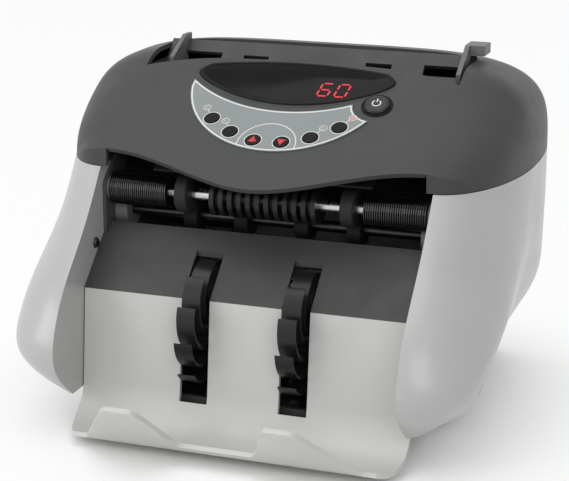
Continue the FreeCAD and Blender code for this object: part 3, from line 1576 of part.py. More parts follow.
def hopper_guide(sign):
    """A sliding side guide: a plate, a tongue in the hopper plate and a thumb block on the right."""
    x_in = mm.guide_x if sign > 0 else mm.left_guide_x
    top_z = mm.guide_top_z if sign > 0 else mm.left_guide_top_z
    rear = mm.hopper_rear_y + sign * mm.wall
    foot_low = on_path(mm.pickup_s + mm.pickup_r, mm.fit_gap)
    foot_high = on_path(-mm.hopper_long - mm.edge_break, mm.fit_gap)
    points = [
        Vector(x_in, *foot_low),
        Vector(x_in, *foot_high),
        Vector(x_in, rear, top_z - mm.guide_block),
        Vector(x_in, rear, top_z),
        Vector(x_in, mm.hopper_rear_y - mm.guide_block * 2, top_z),
        Vector(x_in, foot_low[0], foot_low[1] + mm.guide_block * 3),
    ]
    guide = prism(wire(points), Vector(mm.guide_thick, 0, 0))
    thumb_low = Vector(x_in, mm.hopper_rear_y - mm.guide_block * 2, top_z - mm.guide_block)
    thumb = block(thumb_low, Vector(x_in + mm.guide_block * 2, rear, top_z))
    tongue_corners = [
        (mm.guide_slot_s - mm.guide_tongue, mm.wall),
        (mm.guide_slot_s + mm.guide_tongue, mm.wall),
        (mm.guide_slot_s + mm.guide_tongue, -mm.tray_thick - mm.wall),
        (mm.guide_slot_s - mm.guide_tongue, -mm.tray_thick - mm.wall),
    ]
    tongue_wire = wire([Vector(x_in, *on_path(*corner)) for corner in tongue_corners])
    guide = guide.fuse(prism(tongue_wire, Vector(mm.guide_thick, 0, 0)))
    if sign > 0:
        return guide.fuse(thumb).removeSplitter()
    return guide.removeSplitter().mirror(MIDDLE, ACROSS)


coded("right_hopper_guide", hopper_guide(1))
coded("left_hopper_guide", hopper_guide(-1))


# Electrics: boards, supply, inlet and switch

BOARD_Z = mm.foot_z + mm.pan_floor + mm.stand_off
BOARD_X = mm.bay_half - mm.frame_thick - mm.wall


def on_posts(board_low, board_high, parts):
    """A circuit board on four posts that stand on the pan's floor, with blocks on it."""
    board = block(board_low, board_high)
    inset = mm.bar_r
    solids = []
    for x in (board_low.x + inset, board_high.x - inset):
        for y in (board_low.y + inset, board_high.y - inset):
            solids.append(Part.makeCylinder(mm.shaft_r, mm.stand_off, Vector(x, y, BOARD_Z - mm.stand_off)))
    return board.fuse(solids + parts).removeSplitter()


def control_board():
    low = Vector(-BOARD_X, 0, BOARD_Z)
    high = Vector(-mm.wall, mm.motor_y, BOARD_Z + mm.board_thick)
    top = high.z
    chip = block(Vector(-BOARD_X / 2, mm.motor_y / 3, top),
                 Vector(-BOARD_X / 4, mm.motor_y * 2 / 3, top + mm.wall))
    header = block(Vector(-BOARD_X + mm.bar_r * 3, mm.bar_r, top),
                   Vector(-BOARD_X / 2, mm.bar_r * 3, top + mm.bar_r * 2))
    return on_posts(low, high, [chip, header])


def power_supply():
    low = Vector(mm.wall, 0, BOARD_Z)
    high = Vector(BOARD_X, mm.motor_y, BOARD_Z + mm.board_thick)
    top = high.z
    rise = top + mm.motor_r
    core = block(Vector(BOARD_X / 3, mm.motor_y / 4, top), Vector(BOARD_X * 2 / 3, mm.motor_y * 3 / 4, rise))
    cans = [Part.makeCylinder(mm.bush_r, mm.motor_r, Vector(BOARD_X / 6, y, top))
            for y in (mm.motor_y / 3, mm.motor_y * 2 / 3)]
    fin_x = BOARD_X * 3 / 4
    fin = block(Vector(fin_x, mm.motor_y / 4, top), Vector(fin_x + mm.wall, mm.motor_y * 3 / 4, rise))
    return on_posts(low, high, [core, fin] + cans)


coded("control_board", control_board())
coded("power_supply", power_supply())


def power_inlet():
    """A three-pin appliance inlet flush with the rear cover, with a flange behind it."""
    back = REAR_FACE - mm.inlet_deep
    half_x = mm.inlet_wide / 2 - mm.fit_gap / 2
    half_z = mm.inlet_high / 2 - mm.fit_gap / 2
    body = block(Vector(mm.inlet_x - half_x, back, mm.inlet_z - half_z),
                 Vector(mm.inlet_x + half_x, REAR_FACE, mm.inlet_z + half_z))
    flange_y = REAR_FACE - mm.wall
    rim = mm.wall
    flange = block(Vector(mm.inlet_x - half_x - rim, flange_y - mm.bed_thick, mm.inlet_z - half_z - rim),
                   Vector(mm.inlet_x + half_x + rim, flange_y, mm.inlet_z + half_z + rim))
    well = block(Vector(mm.inlet_x - half_x + rim, back + rim * 2, mm.inlet_z - half_z + rim),
                 Vector(mm.inlet_x + half_x - rim, REAR_FACE, mm.inlet_z + half_z - rim))
    inlet = body.fuse(flange).cut(well)
    pins = []
    for x, z in ((-mm.pin_pitch, -mm.pin_drop), (0.0, mm.pin_drop), (mm.pin_pitch, -mm.pin_drop)):
        middle = Vector(mm.inlet_x + x, back + rim, mm.inlet_z + z)
        half = Vector(mm.bed_thick / 2, 0, mm.bed_thick)
        pins.append(block(middle - half, middle + half + Vector(0, mm.inlet_deep - rim * 3, 0)))
    return inlet.fuse(pins).removeSplitter()


coded("power_inlet", power_inlet())


def power_switch():
    """The switch's frame and box, open towards the rear for its rocker."""
    half_x = mm.switch_wide / 2 - mm.fit_gap / 2
    half_z = mm.switch_high / 2 - mm.fit_gap / 2
    back = REAR_FACE - mm.switch_deep
    body = block(Vector(mm.switch_x - half_x, back, mm.inlet_z - half_z),
                 Vector(mm.switch_x + half_x, REAR_FACE, mm.inlet_z + half_z))
    flange_y = REAR_FACE - mm.wall
    rim = mm.bed_thick
    ledge = rim / 2
    flange = block(Vector(mm.switch_x - half_x - ledge, flange_y - rim, mm.inlet_z - half_z - ledge),
                   Vector(mm.switch_x + half_x + ledge, flange_y, mm.inlet_z + half_z + ledge))
    well_y = REAR_FACE - mm.switch_deep / 2
    well = block(Vector(mm.switch_x - half_x + rim, well_y, mm.inlet_z - half_z + ledge),
                 Vector(mm.switch_x + half_x - rim, REAR_FACE, mm.inlet_z + half_z - ledge))
    pivot = through_hole(ROCKER_AXIS, mm.pivot_r + mm.run_gap,
                         mm.switch_x - half_x + ledge, mm.switch_x + half_x - ledge)
    return body.fuse(flange).cut([well, pivot])


def power_rocker():
    """A rocker with two faces that meet in a shallow valley, resting with its lower face pressed."""
    half_x = mm.switch_wide / 2 - mm.fit_gap / 2 - mm.bed_thick - mm.fit_gap
    half_z = mm.switch_high / 2 - mm.bed_thick / 2 - mm.fit_gap * 3
    y_mid = REAR_FACE - mm.rocker_valley
    y_end = y_mid + half_z * math.tan(math.radians(mm.rocker_deg))
    y_low = ROCKER_AXIS[0] - mm.pivot_r - mm.fit_gap
    x = mm.switch_x - half_x
    points = [
        Vector(x, y_mid, mm.inlet_z),
        Vector(x, y_end, mm.inlet_z + half_z),
        Vector(x, y_end - mm.bed_thick, mm.inlet_z + half_z),
        Vector(x, y_low, mm.inlet_z + mm.pivot_r),
        Vector(x, y_low, mm.inlet_z - mm.pivot_r),
        Vector(x, y_end - mm.bed_thick, mm.inlet_z - half_z),
        Vector(x, y_end, mm.inlet_z - half_z),
    ]
    rocker = prism(wire(points), Vector(2 * half_x, 0, 0))
    pin = through_hole(ROCKER_AXIS, mm.pivot_r, x - mm.pivot_long, x + 2 * half_x + mm.pivot_long)
    rocker = rocker.fuse(pin).removeSplitter()
    rocker.rotate(Vector(x, *ROCKER_AXIS), ACROSS, mm.rocker_deg)
    return rocker


coded("power_switch", power_switch())
coded("power_rocker", power_rocker())

screw = turned("screw", [
    ("0", "wall"),
    ("screw_r", "wall"),
    ("screw_r", "wall + rear_inset / 3"),
    ("screw_r / 2", "wall + rear_inset * 2 / 3"),
    ("0", "wall + rear_inset * 2 / 3"),
], "V_Axis")
screws = []
for screw_x in (-mm.bay_half + mm.foot_r, mm.bay_half - mm.foot_r):
    for screw_z in (mm.sole_z + mm.foot_r, mm.seam_z - mm.foot_r):
        copy = doc.addObject("Part::Compound", f"screw_{len(screws)}")
        copy.Links = [screw]
        turn = Rotation(Vector(0, 0, 1), Vector(0, 1, 0))
        copy.Placement = Placement(Vector(screw_x, REAR_FACE - mm.wall, screw_z), turn)
        screws.append(copy)
group("cover_screws", screws)


# Check every object, then write each sub-part

doc.recompute()
failed = [item.Name for item in doc.Objects if "Invalid" in item.State or "Error" in item.State]
failed += [item.Label for item in nodes if item.Shape.isNull() or not item.Shape.isValid()]
if failed:
    raise RuntimeError(f"not built: {failed}")
os.makedirs("parts", exist_ok=True)
for item in nodes:
    item.Shape.exportStep(f"parts/{item.Label}.step")
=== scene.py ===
import json
import math

import bmesh
import bpy
import numpy as np
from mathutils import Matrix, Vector

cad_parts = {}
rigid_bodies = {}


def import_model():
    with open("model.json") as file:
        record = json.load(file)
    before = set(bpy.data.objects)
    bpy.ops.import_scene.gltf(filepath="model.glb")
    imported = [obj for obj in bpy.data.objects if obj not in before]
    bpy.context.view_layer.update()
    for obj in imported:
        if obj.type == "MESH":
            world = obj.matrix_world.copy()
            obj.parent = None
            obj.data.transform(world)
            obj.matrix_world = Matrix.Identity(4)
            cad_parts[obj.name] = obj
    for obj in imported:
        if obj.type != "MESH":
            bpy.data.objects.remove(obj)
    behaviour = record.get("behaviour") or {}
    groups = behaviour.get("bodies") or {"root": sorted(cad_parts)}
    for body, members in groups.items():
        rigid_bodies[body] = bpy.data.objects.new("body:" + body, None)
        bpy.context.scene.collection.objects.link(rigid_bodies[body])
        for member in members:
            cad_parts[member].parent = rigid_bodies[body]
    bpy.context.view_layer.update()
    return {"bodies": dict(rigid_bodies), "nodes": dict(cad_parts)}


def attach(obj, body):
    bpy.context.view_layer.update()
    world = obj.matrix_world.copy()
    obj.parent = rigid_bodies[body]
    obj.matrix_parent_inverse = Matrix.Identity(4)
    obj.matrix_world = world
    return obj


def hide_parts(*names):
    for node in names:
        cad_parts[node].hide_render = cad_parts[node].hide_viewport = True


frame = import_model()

# A table-top counting machine. Shapes are worked out in millimetres and put into metres.
MM = 0.001
MERGE_REACH = 2e-6
# Steps of a rounded edge, and the angle in degrees from which an edge is rounded
BEVEL_STEPS, BEVEL_ANGLE = 3, 38.0
# How many points a curve is looked up by
CURVE_POINTS = 200
# Half widths of the bay and the body, and the rear
BAY, BODY, REAR = 91.5, 128.0, 128.0
# Height of the seam under the cover, and where along Y its crest is
SEAM, CREST = 136.0, 58.0
# The console's foot and slope
CONSOLE_Y, CONSOLE_Z, SLOPE = -55.0, 135.0, math.radians(30.0)
# How long the rear's roll is, and how much it narrows the body
REAR_ROLL, REAR_TURN = REAR - CREST, 19.0


# Making pieces

def body_of(node):
    """The name of the body that carries a solid."""
    return next(name for name, empty in frame["bodies"].items() if frame["nodes"][node].parent is empty)


def add_piece(name, mesh, material, body, replaces=()):
    """A mesh as a piece that rides on a body and may stand for solids."""
    mesh.materials.clear()
    mesh.materials.append(material)
    piece = bpy.data.objects.new(name, mesh)
    bpy.context.collection.objects.link(piece)
    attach(piece, body)
    if replaces:
        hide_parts(*replaces)
    return piece


def paint(node, material):
    """Gives a solid that shows as it is its finish."""
    mesh = frame["nodes"][node].data
    mesh.materials.clear()
    mesh.materials.append(material)


def grid_faces(points, keep=None, base=0):
    """Quads between neighbours of a grid of points; keep is a mask of the quads that stay."""
    rows, columns = points.shape[:2]
    index = base + np.arange(rows * columns).reshape(rows, columns)
    quads = np.stack([index[:-1, :-1], index[:-1, 1:], index[1:, 1:], index[1:, :-1]], -1)
    return quads.reshape(-1, 4) if keep is None else quads[keep]


def tidy(mesh, outward):
    """Merges points that meet, and turns a closed skin's faces outwards."""
    work = bmesh.new()
    work.from_mesh(mesh)
    bmesh.ops.remove_doubles(work, verts=work.verts, dist=MERGE_REACH)
    loose = [vertex for vertex in work.verts if not vertex.link_faces]
    bmesh.ops.delete(work, geom=loose, context="VERTS")
    if outward:
        bmesh.ops.recalc_face_normals(work, faces=work.faces)
    work.to_mesh(mesh)
    work.free()


def surface(name, grids, material, body, replaces=(), outward=True, thick=0.0, edge=0.0, sharp=None):
    """Grids of points, each with a mask or None, as one piece; thick and edge are for sheet and rounding."""
    points, faces, base = [], [], 0
    for grid, keep in grids:
        points.append(grid.reshape(-1, 3))
        faces.append(grid_faces(grid, keep, base))
        base += points[-1].shape[0]
    mesh = bpy.data.meshes.new(name)
    mesh.from_pydata((np.concatenate(points) * MM).tolist(), [], np.concatenate(faces).tolist())
    tidy(mesh, outward)
    mesh.shade_smooth()
    if sharp:
        mesh.set_sharp_from_angle(angle=math.radians(sharp))
    piece = add_piece(name, mesh, material, body, replaces)
    if thick:
        sheet = piece.modifiers.new("sheet", "SOLIDIFY")
        sheet.thickness = thick * MM
        sheet.offset = -1.0
    if edge:
        rounding = piece.modifiers.new("rounding", "BEVEL")
        rounding.width = edge * MM
        rounding.segments = BEVEL_STEPS
        rounding.limit_method = "ANGLE"
        rounding.angle_limit = math.radians(BEVEL_ANGLE)
        rounding.harden_normals = True
    return piece


def polished_copy(node, material, sharp=32.0):
    """A merged copy of a solid with its round faces shaded smooth."""
    mesh = frame["nodes"][node].data.copy()
    mesh.name = node + "_skin"
    custom = mesh.attributes.get("custom_normal")
    if custom:
        mesh.attributes.remove(custom)
    tidy(mesh, False)
    mesh.shade_smooth()
    mesh.set_sharp_from_angle(angle=math.radians(sharp))
    return add_piece(node + "_skin", mesh, material, body_of(node), (node,))


def console(across, up, height):
    """Points on the sloped console: across it, up its slope and off its face."""
    across, up, height = np.broadcast_arrays(across, up, height)
    y = CONSOLE_Y + up * math.cos(SLOPE) - height * math.sin(SLOPE)
    z = CONSOLE_Z + up * math.sin(SLOPE) + height * math.cos(SLOPE)
    return np.stack([across, y, z], -1)


def turned_on_console(profile, across, up, steps=64):
    """A profile of (radius, height) carried once round an axis that stands on the console."""
    profile = np.array(profile)
    turn = np.linspace(0.0, 2.0 * np.pi, steps + 1)
    radius, height = profile[:, :1], profile[:, 1:]
    return console(across + radius * np.cos(turn), up + radius * np.sin(turn), height + 0.0 * turn)


def turned_on_shaft(profile, axis, steps=72):
    """A profile of (x, radius) carried once round a shaft that lies along X at (y, z)."""
    profile = np.array(profile)
    turn = np.linspace(0.0, 2.0 * np.pi, steps + 1)
    x, radius = profile[:, :1], profile[:, 1:]
    return np.stack([x + 0.0 * turn, axis[0] + radius * np.cos(turn), axis[1] + radius * np.sin(turn)], -1)


def band(inner, outer, low, high):
    """A flat strip on the console between two lines of (across, up), from one height to another."""
    rows = [(inner, low), (inner, high), (outer, high), (outer, low), (inner, low)]
    return np.stack([console(line[:, 0], line[:, 1], height) for line, height in rows])


def ring(across, up, inner_r, outer_r, low, high, start=0.0, stop=360.0, steps=72):
    """A flat ring, or a part of one, on the console."""
    turn = np.radians(np.linspace(start, stop, steps + 1))
    way = np.stack([np.cos(turn), np.sin(turn)], -1)
    centre = np.array([across, up])
    return band(centre + inner_r * way, centre + outer_r * way, low, high)


def stroke(start, stop, width, low, high):
    """A straight printed line on the console, a band of one length."""
    start, stop = np.array(start), np.array(stop)
    along = (stop - start) / np.linalg.norm(stop - start)
    side = np.array([-along[1], along[0]]) * width / 2.0
    ends = np.stack([start, stop])
    return band(ends - side, ends + side, low, high)


# Finishes

# Noise to the metre: broad tone and smudges of a moulded face, and tone of metal
TONE_SCALE, SMUDGE_SCALE, METAL_TONE_SCALE = 24.0, 60.0, 40.0
# The middle range of noise, which is spread over a finish's range
NOISE_RANGE = (0.3, 0.7)
# How far grinding lines are drawn out along each axis
GRIND_STRETCH = (1.0, 0.05, 0.05)
# Height of the grain in metres at a depth of one
GRAIN_HEIGHT = 0.0001
# The mix node's colour sockets go by number, because their names repeat
MIX_SHARE, MIX_DARK, MIX_LIGHT, MIX_RESULT = 0, 6, 7, 2


def shader_group(name, outputs):
    """An empty node group with a pitch as its input, and named outputs."""
    group = bpy.data.node_groups.new(name, "ShaderNodeTree")
    group.interface.new_socket("Pitch", in_out="INPUT", socket_type="NodeSocketFloat")
    for label in outputs:
        group.interface.new_socket(label, in_out="OUTPUT", socket_type="NodeSocketFloat")
    return group, group.nodes.new("NodeGroupInput").outputs["Pitch"], group.nodes.new("NodeGroupOutput")


def noise(tree, where, scale, detail):
    """A noise texture whose scale is a number or a socket."""
    node = tree.nodes.new("ShaderNodeTexNoise")
    node.inputs["Detail"].default_value = detail
    tree.links.new(where, node.inputs["Vector"])
    if isinstance(scale, (int, float)):
        node.inputs["Scale"].default_value = scale
    else:
        tree.links.new(scale, node.inputs["Scale"])
    return node.outputs["Fac"]


def make_moulding():
    """Grain of a moulded face: fine pits, broad tone and smudges, from noise on the object's own place."""
    group, pitch, leave = shader_group("moulded_face", ["Pits", "Tone", "Smudge"])
    place = group.nodes.new("ShaderNodeTexCoord").outputs["Object"]
    layers = {"Pits": (pitch, 2.0), "Tone": (TONE_SCALE, 3.0), "Smudge": (SMUDGE_SCALE, 4.0)}
    for label, (scale, detail) in layers.items():
        group.links.new(noise(group, place, scale, detail), leave.inputs[label])
    return group


def make_grinding():
    """Grinding lines: noise drawn out round a shaft, so that it changes fast along X only."""
    group, pitch, leave = shader_group("ground_metal", ["Lines", "Tone"])
    place = group.nodes.new("ShaderNodeTexCoord").outputs["Object"]
    turn = group.nodes.new("ShaderNodeMapping")
    turn.inputs["Scale"].default_value = GRIND_STRETCH
    group.links.new(place, turn.inputs["Vector"])
    lines = noise(group, turn.outputs["Vector"], pitch, 3.0)
    tone = noise(group, place, METAL_TONE_SCALE, 2.0)
    group.links.new(lines, leave.inputs["Lines"])
    group.links.new(tone, leave.inputs["Tone"])
    return group


MOULDED = make_moulding()
GROUND = make_grinding()


def ramp(tree, value, low, high):
    """A value from noise's middle range spread between two numbers."""
    node = tree.nodes.new("ShaderNodeMapRange")
    limits = {"From Min": NOISE_RANGE[0], "From Max": NOISE_RANGE[1], "To Min": low, "To Max": high}
    for label, limit in limits.items():
        node.inputs[label].default_value = limit
    tree.links.new(value, node.inputs["Value"])
    return node.outputs["Result"]


def blend(tree, value, dark, light):
    """A colour between two by a mask."""
    node = tree.nodes.new("ShaderNodeMix")
    node.data_type = "RGBA"
    node.inputs[MIX_DARK].default_value = (*dark, 1.0)
    node.inputs[MIX_LIGHT].default_value = (*light, 1.0)
    tree.links.new(value, node.inputs[MIX_SHARE])
    return node.outputs[MIX_RESULT]


def finish(name, colour, spread=0.08, rough=(0.4, 0.55), pitch=2200.0, depth=0.12, metallic=0.0,
           specular=0.5, coat=0.0, coat_rough=0.1, group=None):
    """A finish with its own grain, tone and smudges on the shader's sockets."""
    material = bpy.data.materials.new(name)
    material.use_nodes = True
    tree = material.node_tree
    shader = tree.nodes["Principled BSDF"]
    face = tree.nodes.new("ShaderNodeGroup")
    face.node_tree = group or MOULDED
    face.inputs["Pitch"].default_value = pitch
    fine, smudge = ("Pits", "Smudge") if group is None else ("Lines", "Lines")
    dark = tuple(channel * (1.0 - spread) for channel in colour)
    light = tuple(min(channel * (1.0 + spread), 1.0) for channel in colour)
    tone = ramp(tree, face.outputs["Tone"], 0.0, 1.0)
    tree.links.new(blend(tree, tone, dark, light), shader.inputs["Base Color"])
    tree.links.new(ramp(tree, face.outputs[smudge], *rough), shader.inputs["Roughness"])
    bump = tree.nodes.new("ShaderNodeBump")
    bump.inputs["Strength"].default_value = depth
    bump.inputs["Distance"].default_value = GRAIN_HEIGHT
    tree.links.new(face.outputs[fine], bump.inputs["Height"])
    tree.links.new(bump.outputs["Normal"], shader.inputs["Normal"])
    shader.inputs["Metallic"].default_value = metallic
    shader.inputs["Specular IOR Level"].default_value = specular
    shader.inputs["Coat Weight"].default_value = coat
    shader.inputs["Coat Roughness"].default_value = coat_rough
    return material


def glowing(name, colour, strength):
    """A lit finish: a moulded face that gives off its own colour."""
    material = finish(name, colour, rough=(0.3, 0.4))
    shader = material.node_tree.nodes["Principled BSDF"]
    shader.inputs["Emission Color"].default_value = (*colour, 1.0)
    shader.inputs["Emission Strength"].default_value = strength
    return material


def grey(level):
    """A colour without a hue."""
    return (level, level, level)


# Each finish has its colour, its spread of tone, its range of roughness, and its grain's pitch and depth
FINISH = {
    "cover": finish("cover_charcoal", (0.042, 0.045, 0.043), 0.05, (0.42, 0.52), 1900.0, 0.22, specular=0.3),
    "panel": finish("panel_silver", (0.415, 0.42, 0.412), 0.025, (0.3, 0.38), 2600.0, 0.08, coat=0.25,
                    coat_rough=0.2),
    "tray": finish("tray_silver", (0.53, 0.535, 0.515), 0.03, (0.34, 0.44), 2600.0, 0.10),
    "back_plate": finish("plate_black", grey(0.028), 0.15, (0.45, 0.6), 2400.0, 0.2),
    "guide": finish("guide_grey", grey(0.12), 0.08, (0.4, 0.5)),
    "lens": finish("lens_black", grey(0.003), 0.2, (0.05, 0.09), 600.0, 0.01, specular=0.09),
    "keypad": finish("film_grey", (0.235, 0.26, 0.26), 0.03, (0.36, 0.44), 3200.0, 0.06, specular=0.35),
    "key": finish("key_black", grey(0.007), 0.2, (0.25, 0.34), 2600.0, 0.05, specular=0.1),
    "button": finish("button_black", grey(0.014), 0.15, (0.22, 0.32), 2600.0, 0.05, specular=0.3),
    "lamp": finish("lamp_pale", (0.33, 0.36, 0.36), 0.05, (0.15, 0.25)),
    "board": finish("board_green", (0.03, 0.16, 0.07), 0.2, (0.3, 0.5), 300.0, 0.3),
    "pan": finish("pan_black", grey(0.04), 0.1, (0.5, 0.65), 1500.0, 0.3),
    "rubber": finish("roller_rubber", grey(0.012), 0.2, (0.55, 0.7), 3000.0, 0.35, specular=0.35),
    "steel": finish("shaft_steel", grey(0.62), 0.12, (0.18, 0.34), 900.0, 0.1, metallic=1.0, group=GROUND),
    "frame": finish("frame_dark", grey(0.05), 0.12, (0.42, 0.56), 2000.0, 0.18),
    "black_plastic": finish("plastic_black", grey(0.008), 0.2, (0.3, 0.42), 2400.0, 0.12, specular=0.35),
    "boss": finish("boss_grey", grey(0.16), 0.08, (0.4, 0.5)),
    "pulley": finish("pulley_natural", (0.5, 0.49, 0.45), 0.06, (0.4, 0.55)),
    "motor": finish("motor_zinc", grey(0.42), 0.1, (0.3, 0.45), 700.0, 0.1, metallic=1.0, group=GROUND),
}
RIB_BLACK = finish("rib_black", grey(0.004), 0.2, (0.1, 0.16), 2400.0, 0.03, specular=0.9)
# Darker copies of the board, rubber and steel finishes: painted shade for the pieces deep in the mouth
SHADE_DARK_BOARD = finish("board_painted_shade", grey(0.009), 0.2, (0.4, 0.55), 300.0, 0.3, specular=0.25)
SHADE_DARK_RUBBER = finish("rubber_painted_shade", grey(0.005), 0.2, (0.6, 0.75), 3000.0, 0.3, specular=0.2)
SHADE_DARK_STEEL = finish("steel_painted_shade", grey(0.06), 0.15, (0.3, 0.45), 900.0, 0.1, metallic=1.0, group=GROUND)
WHITE_PRINT = finish("print_white", grey(0.72), 0.04, (0.35, 0.45), 3200.0, 0.05)
RED_PRINT = finish("print_red", (0.62, 0.035, 0.04), 0.06, (0.3, 0.4), 3200.0, 0.05)
LIT_DIGIT = glowing("digit_red", (0.55, 0.008, 0.02), 0.6)
LIT_LAMP = glowing("lamp_red", (0.9, 0.12, 0.14), 0.5)


# Side panels

LEVELS = np.array([
    # height, front edge, half width at the bulge, length of the front corner, half width behind it
    [21.0, -74.0, 103.0, 36.0, 115.0],
    [34.0, -89.0, 119.0, 38.0, 115.0],
    [48.0, -95.5, 125.5, 33.5, 117.0],
    [60.0, -93.0, 129.0, 48.0, 124.0],
    [80.0, -81.0, 130.0, 70.0, 127.5],
    [103.0, -58.0, 128.5, 83.0, 128.0],
    [136.0, -31.0, 128.0, 82.0, 128.0],
])
WALL, PANEL_EDGE = 3.0, 1.2
SOLE = LEVELS[0, 0]
SEAM_GAP = 0.5
# How long the bulge takes to fall to the side, and the share of that which starts level
BULGE_FALL, FALL_LEAD = 40.0, 0.15
# The arch behind the leg, from the heel: a cubic curve's ends and handles as (y, z)
HEEL = -7.0
ARCH = [(HEEL, SOLE), (HEEL, 50.0), (20.0, 47.0), (131.0, 80.0)]
# How the bay wall's columns crowd to the front, and what keeps a division from zero
INNER_CROWD, TINY = 1.2, 1e-9
# The handle that makes a cubic curve a quarter of a circle
ROUND = 0.5523


def curve(points, share):
    """A cubic curve through its end points, drawn by its two handles."""
    first, second, third, last = (np.asarray(point, float)[..., None, :] for point in points)
    share = share[:, None]
    rest = 1.0 - share
    ends = rest ** 3 * first + share ** 3 * last
    return ends + 3 * rest ** 2 * share * second + 3 * rest * share ** 2 * third


def level_outlines(steps=60):
    """The plan of a panel's outer face at each level: front corner, fall of the bulge, side and rear turn."""
    z, front, bulge, run, half = LEVELS.T
    share = np.linspace(0.0, 1.0, steps + 1)
    y_bulge = front + run
    y_side = np.minimum(y_bulge + BULGE_FALL, CREST - WALL)
    lead = (y_side - y_bulge) * FALL_LEAD
    rear_x = np.maximum(half - REAR_TURN, BAY + WALL)
    bay, rear, crest = (np.full(z.size, value) for value in (BAY, REAR, CREST))
    pair = lambda x, y: np.stack([x, y], -1)
    corner = curve([pair(bay, front), pair(bay + ROUND * (bulge - bay), front),
                    pair(bulge, y_bulge - ROUND * run), pair(bulge, y_bulge)], share)
    fall = curve([pair(bulge, y_bulge), pair(bulge, y_bulge + lead), pair(half, y_side - lead),
                  pair(half, y_side)], share)
    side = pair(half, y_side)[:, None] + (pair(half, crest) - pair(half, y_side))[:, None] * share[:, None]
    turn = curve([pair(half, crest), pair(half, crest + ROUND * REAR_ROLL),
                  pair(rear_x + ROUND * (half - rear_x), rear), pair(rear_x, rear)], share)
    return np.concatenate([corner, fall[:, 1:], side[:, 1:], turn[:, 1:]], 1)


def level_bends(values):
    """Second derivatives of a natural cubic spline through the levels."""
    gap = np.diff(LEVELS[:, 0])
    matrix = np.diag(np.concatenate([[1.0], 2 * (gap[:-1] + gap[1:]), [1.0]]))
    inner = np.arange(1, len(LEVELS) - 1)
    matrix[inner, inner - 1] = gap[:-1]
    matrix[inner, inner + 1] = gap[1:]
    slope = np.diff(values, axis=0) / gap[:, None, None]
    right = np.zeros_like(values)
    right[1:-1] = 6 * np.diff(slope, axis=0)
    return np.linalg.solve(matrix, right.reshape(len(LEVELS), -1)).reshape(values.shape)


def at_heights(values, bends, z):
    """The spline through the levels at a grid of heights, one column of heights to each of values."""
    knots = LEVELS[:, 0]
    row = np.clip(np.searchsorted(knots, z) - 1, 0, knots.size - 2)
    column = np.broadcast_to(np.arange(z.shape[1]), z.shape)
    gap = (knots[row + 1] - knots[row])[..., None]
    up = ((z - knots[row])[..., None]) / gap
    down = 1.0 - up
    straight = down * values[row, column] + up * values[row + 1, column]
    curl = (down ** 3 - down) * bends[row, column] + (up ** 3 - up) * bends[row + 1, column]
    return straight + curl * gap ** 2 / 6.0


def arch_height(y):
    """The lowest edge of a panel along Y: the sole, then a curve that lifts behind the leg."""
    line = curve(ARCH, np.linspace(0.0, 1.0, CURVE_POINTS))
    return np.where(y < HEEL, SOLE, np.interp(y, np.maximum.accumulate(line[:, 0]), line[:, 1]))


def panel_skin(sign, rows=64, tests=240):
    """A panel's closed skin: down the bay's wall, under the foot, and up the outer face to the seam."""
    values = level_outlines()
    bends = level_bends(values)
    columns = values.shape[1]
    top = SEAM - SEAM_GAP
    test = np.repeat(np.linspace(SOLE, top, tests)[:, None], columns, 1)
    above = test - arch_height(at_heights(values, bends, test)[..., 1])
    under = np.where(above < 0, np.arange(tests)[:, None], -1).max(0)
    first = np.clip(under, 0, tests - 2)
    pick = np.arange(columns)
    cross = above[first, pick] / (above[first, pick] - above[first + 1, pick] + TINY)
    foot = np.where(under < 0, SOLE, test[first, pick] + np.clip(cross, 0, 1) * (test[1, 0] - test[0, 0]))
    share = np.linspace(0.0, 1.0, rows)[:, None]
    z = foot + (top - foot) * share
    plan = at_heights(values, bends, z)
    outer = np.concatenate([plan, z[..., None]], -1)
    rear = outer[:, -1:].copy()
    rear[..., 0] = BAY
    outer = np.concatenate([outer, rear], 1)
    along = np.concatenate([np.linspace(0.0, 1.0, columns) ** INNER_CROWD, [1.0]])
    inner_z = np.repeat(SOLE + (top - SOLE) * share, columns + 1, 1)
    front = at_heights(values[:, :1], bends[:, :1], inner_z[:, :1])[..., 1]
    inner = np.stack([np.full(inner_z.shape, BAY), front + (REAR - front) * along, inner_z], -1)
    step = outer[:1].copy()
    step[..., 0] = np.minimum(step[..., 0], BAY + WALL)
    lower = step.copy()
    lower[..., 2] = SOLE
    skin = np.concatenate([inner[::-1], lower, step, outer, inner[-1:]])
    return skin * np.array([sign, 1.0, 1.0])


for side, sign in (("left", -1.0), ("right", 1.0)):
    node = side + "_side_panel"
    skin = panel_skin(sign)
    surface(node + "_skin", [(skin, None)], FINISH["panel"], "housing", (node,),
            edge=PANEL_EDGE)


# Top cover

# The cheeks are quarter ellipses from CHEEK_REAR forward, and flare in ahead of CHEEK_FRONT
CHEEK_REAR, CHEEK_RUN, CHEEK_FRONT, FLARE = 51.0, 82.0, -19.0, 0.42
# The share of the cheek's width that the front edge follows
CHEEK_SHARE = 0.5208
# The console's slope ends here and eases up to the crest's height
SLOPE_END, CREST_TOP = 33.0, 190.0
# How far the top falls over the rear's roll, and how late
ROLL_DROP, ROLL_POWER = 42.0, 1.3
# The arch across stands on this height, and its power makes it square
ARCH_FOOT, SQUARE = 126.0, 4.5
# Arcs of the lens as (middle up the slope, radius), its half length and the dish round it
EYE_LOW, EYE_HIGH, EYE_HALF = (156.8, 86.8), (-174.5, 274.5), 52.0
DISH_REACH, DISH_EASE, DISH_DEPTH = 6.5, 3.5, 1.0
# The brow's edge in plan, from the middle to the bay's wall
BROW = [(0.0, -53.5), (25.0, -53.5), (55.0, -36.5), (BAY, CHEEK_REAR - CHEEK_RUN)]
BROW_RANGE = (-36.0, -18.5)
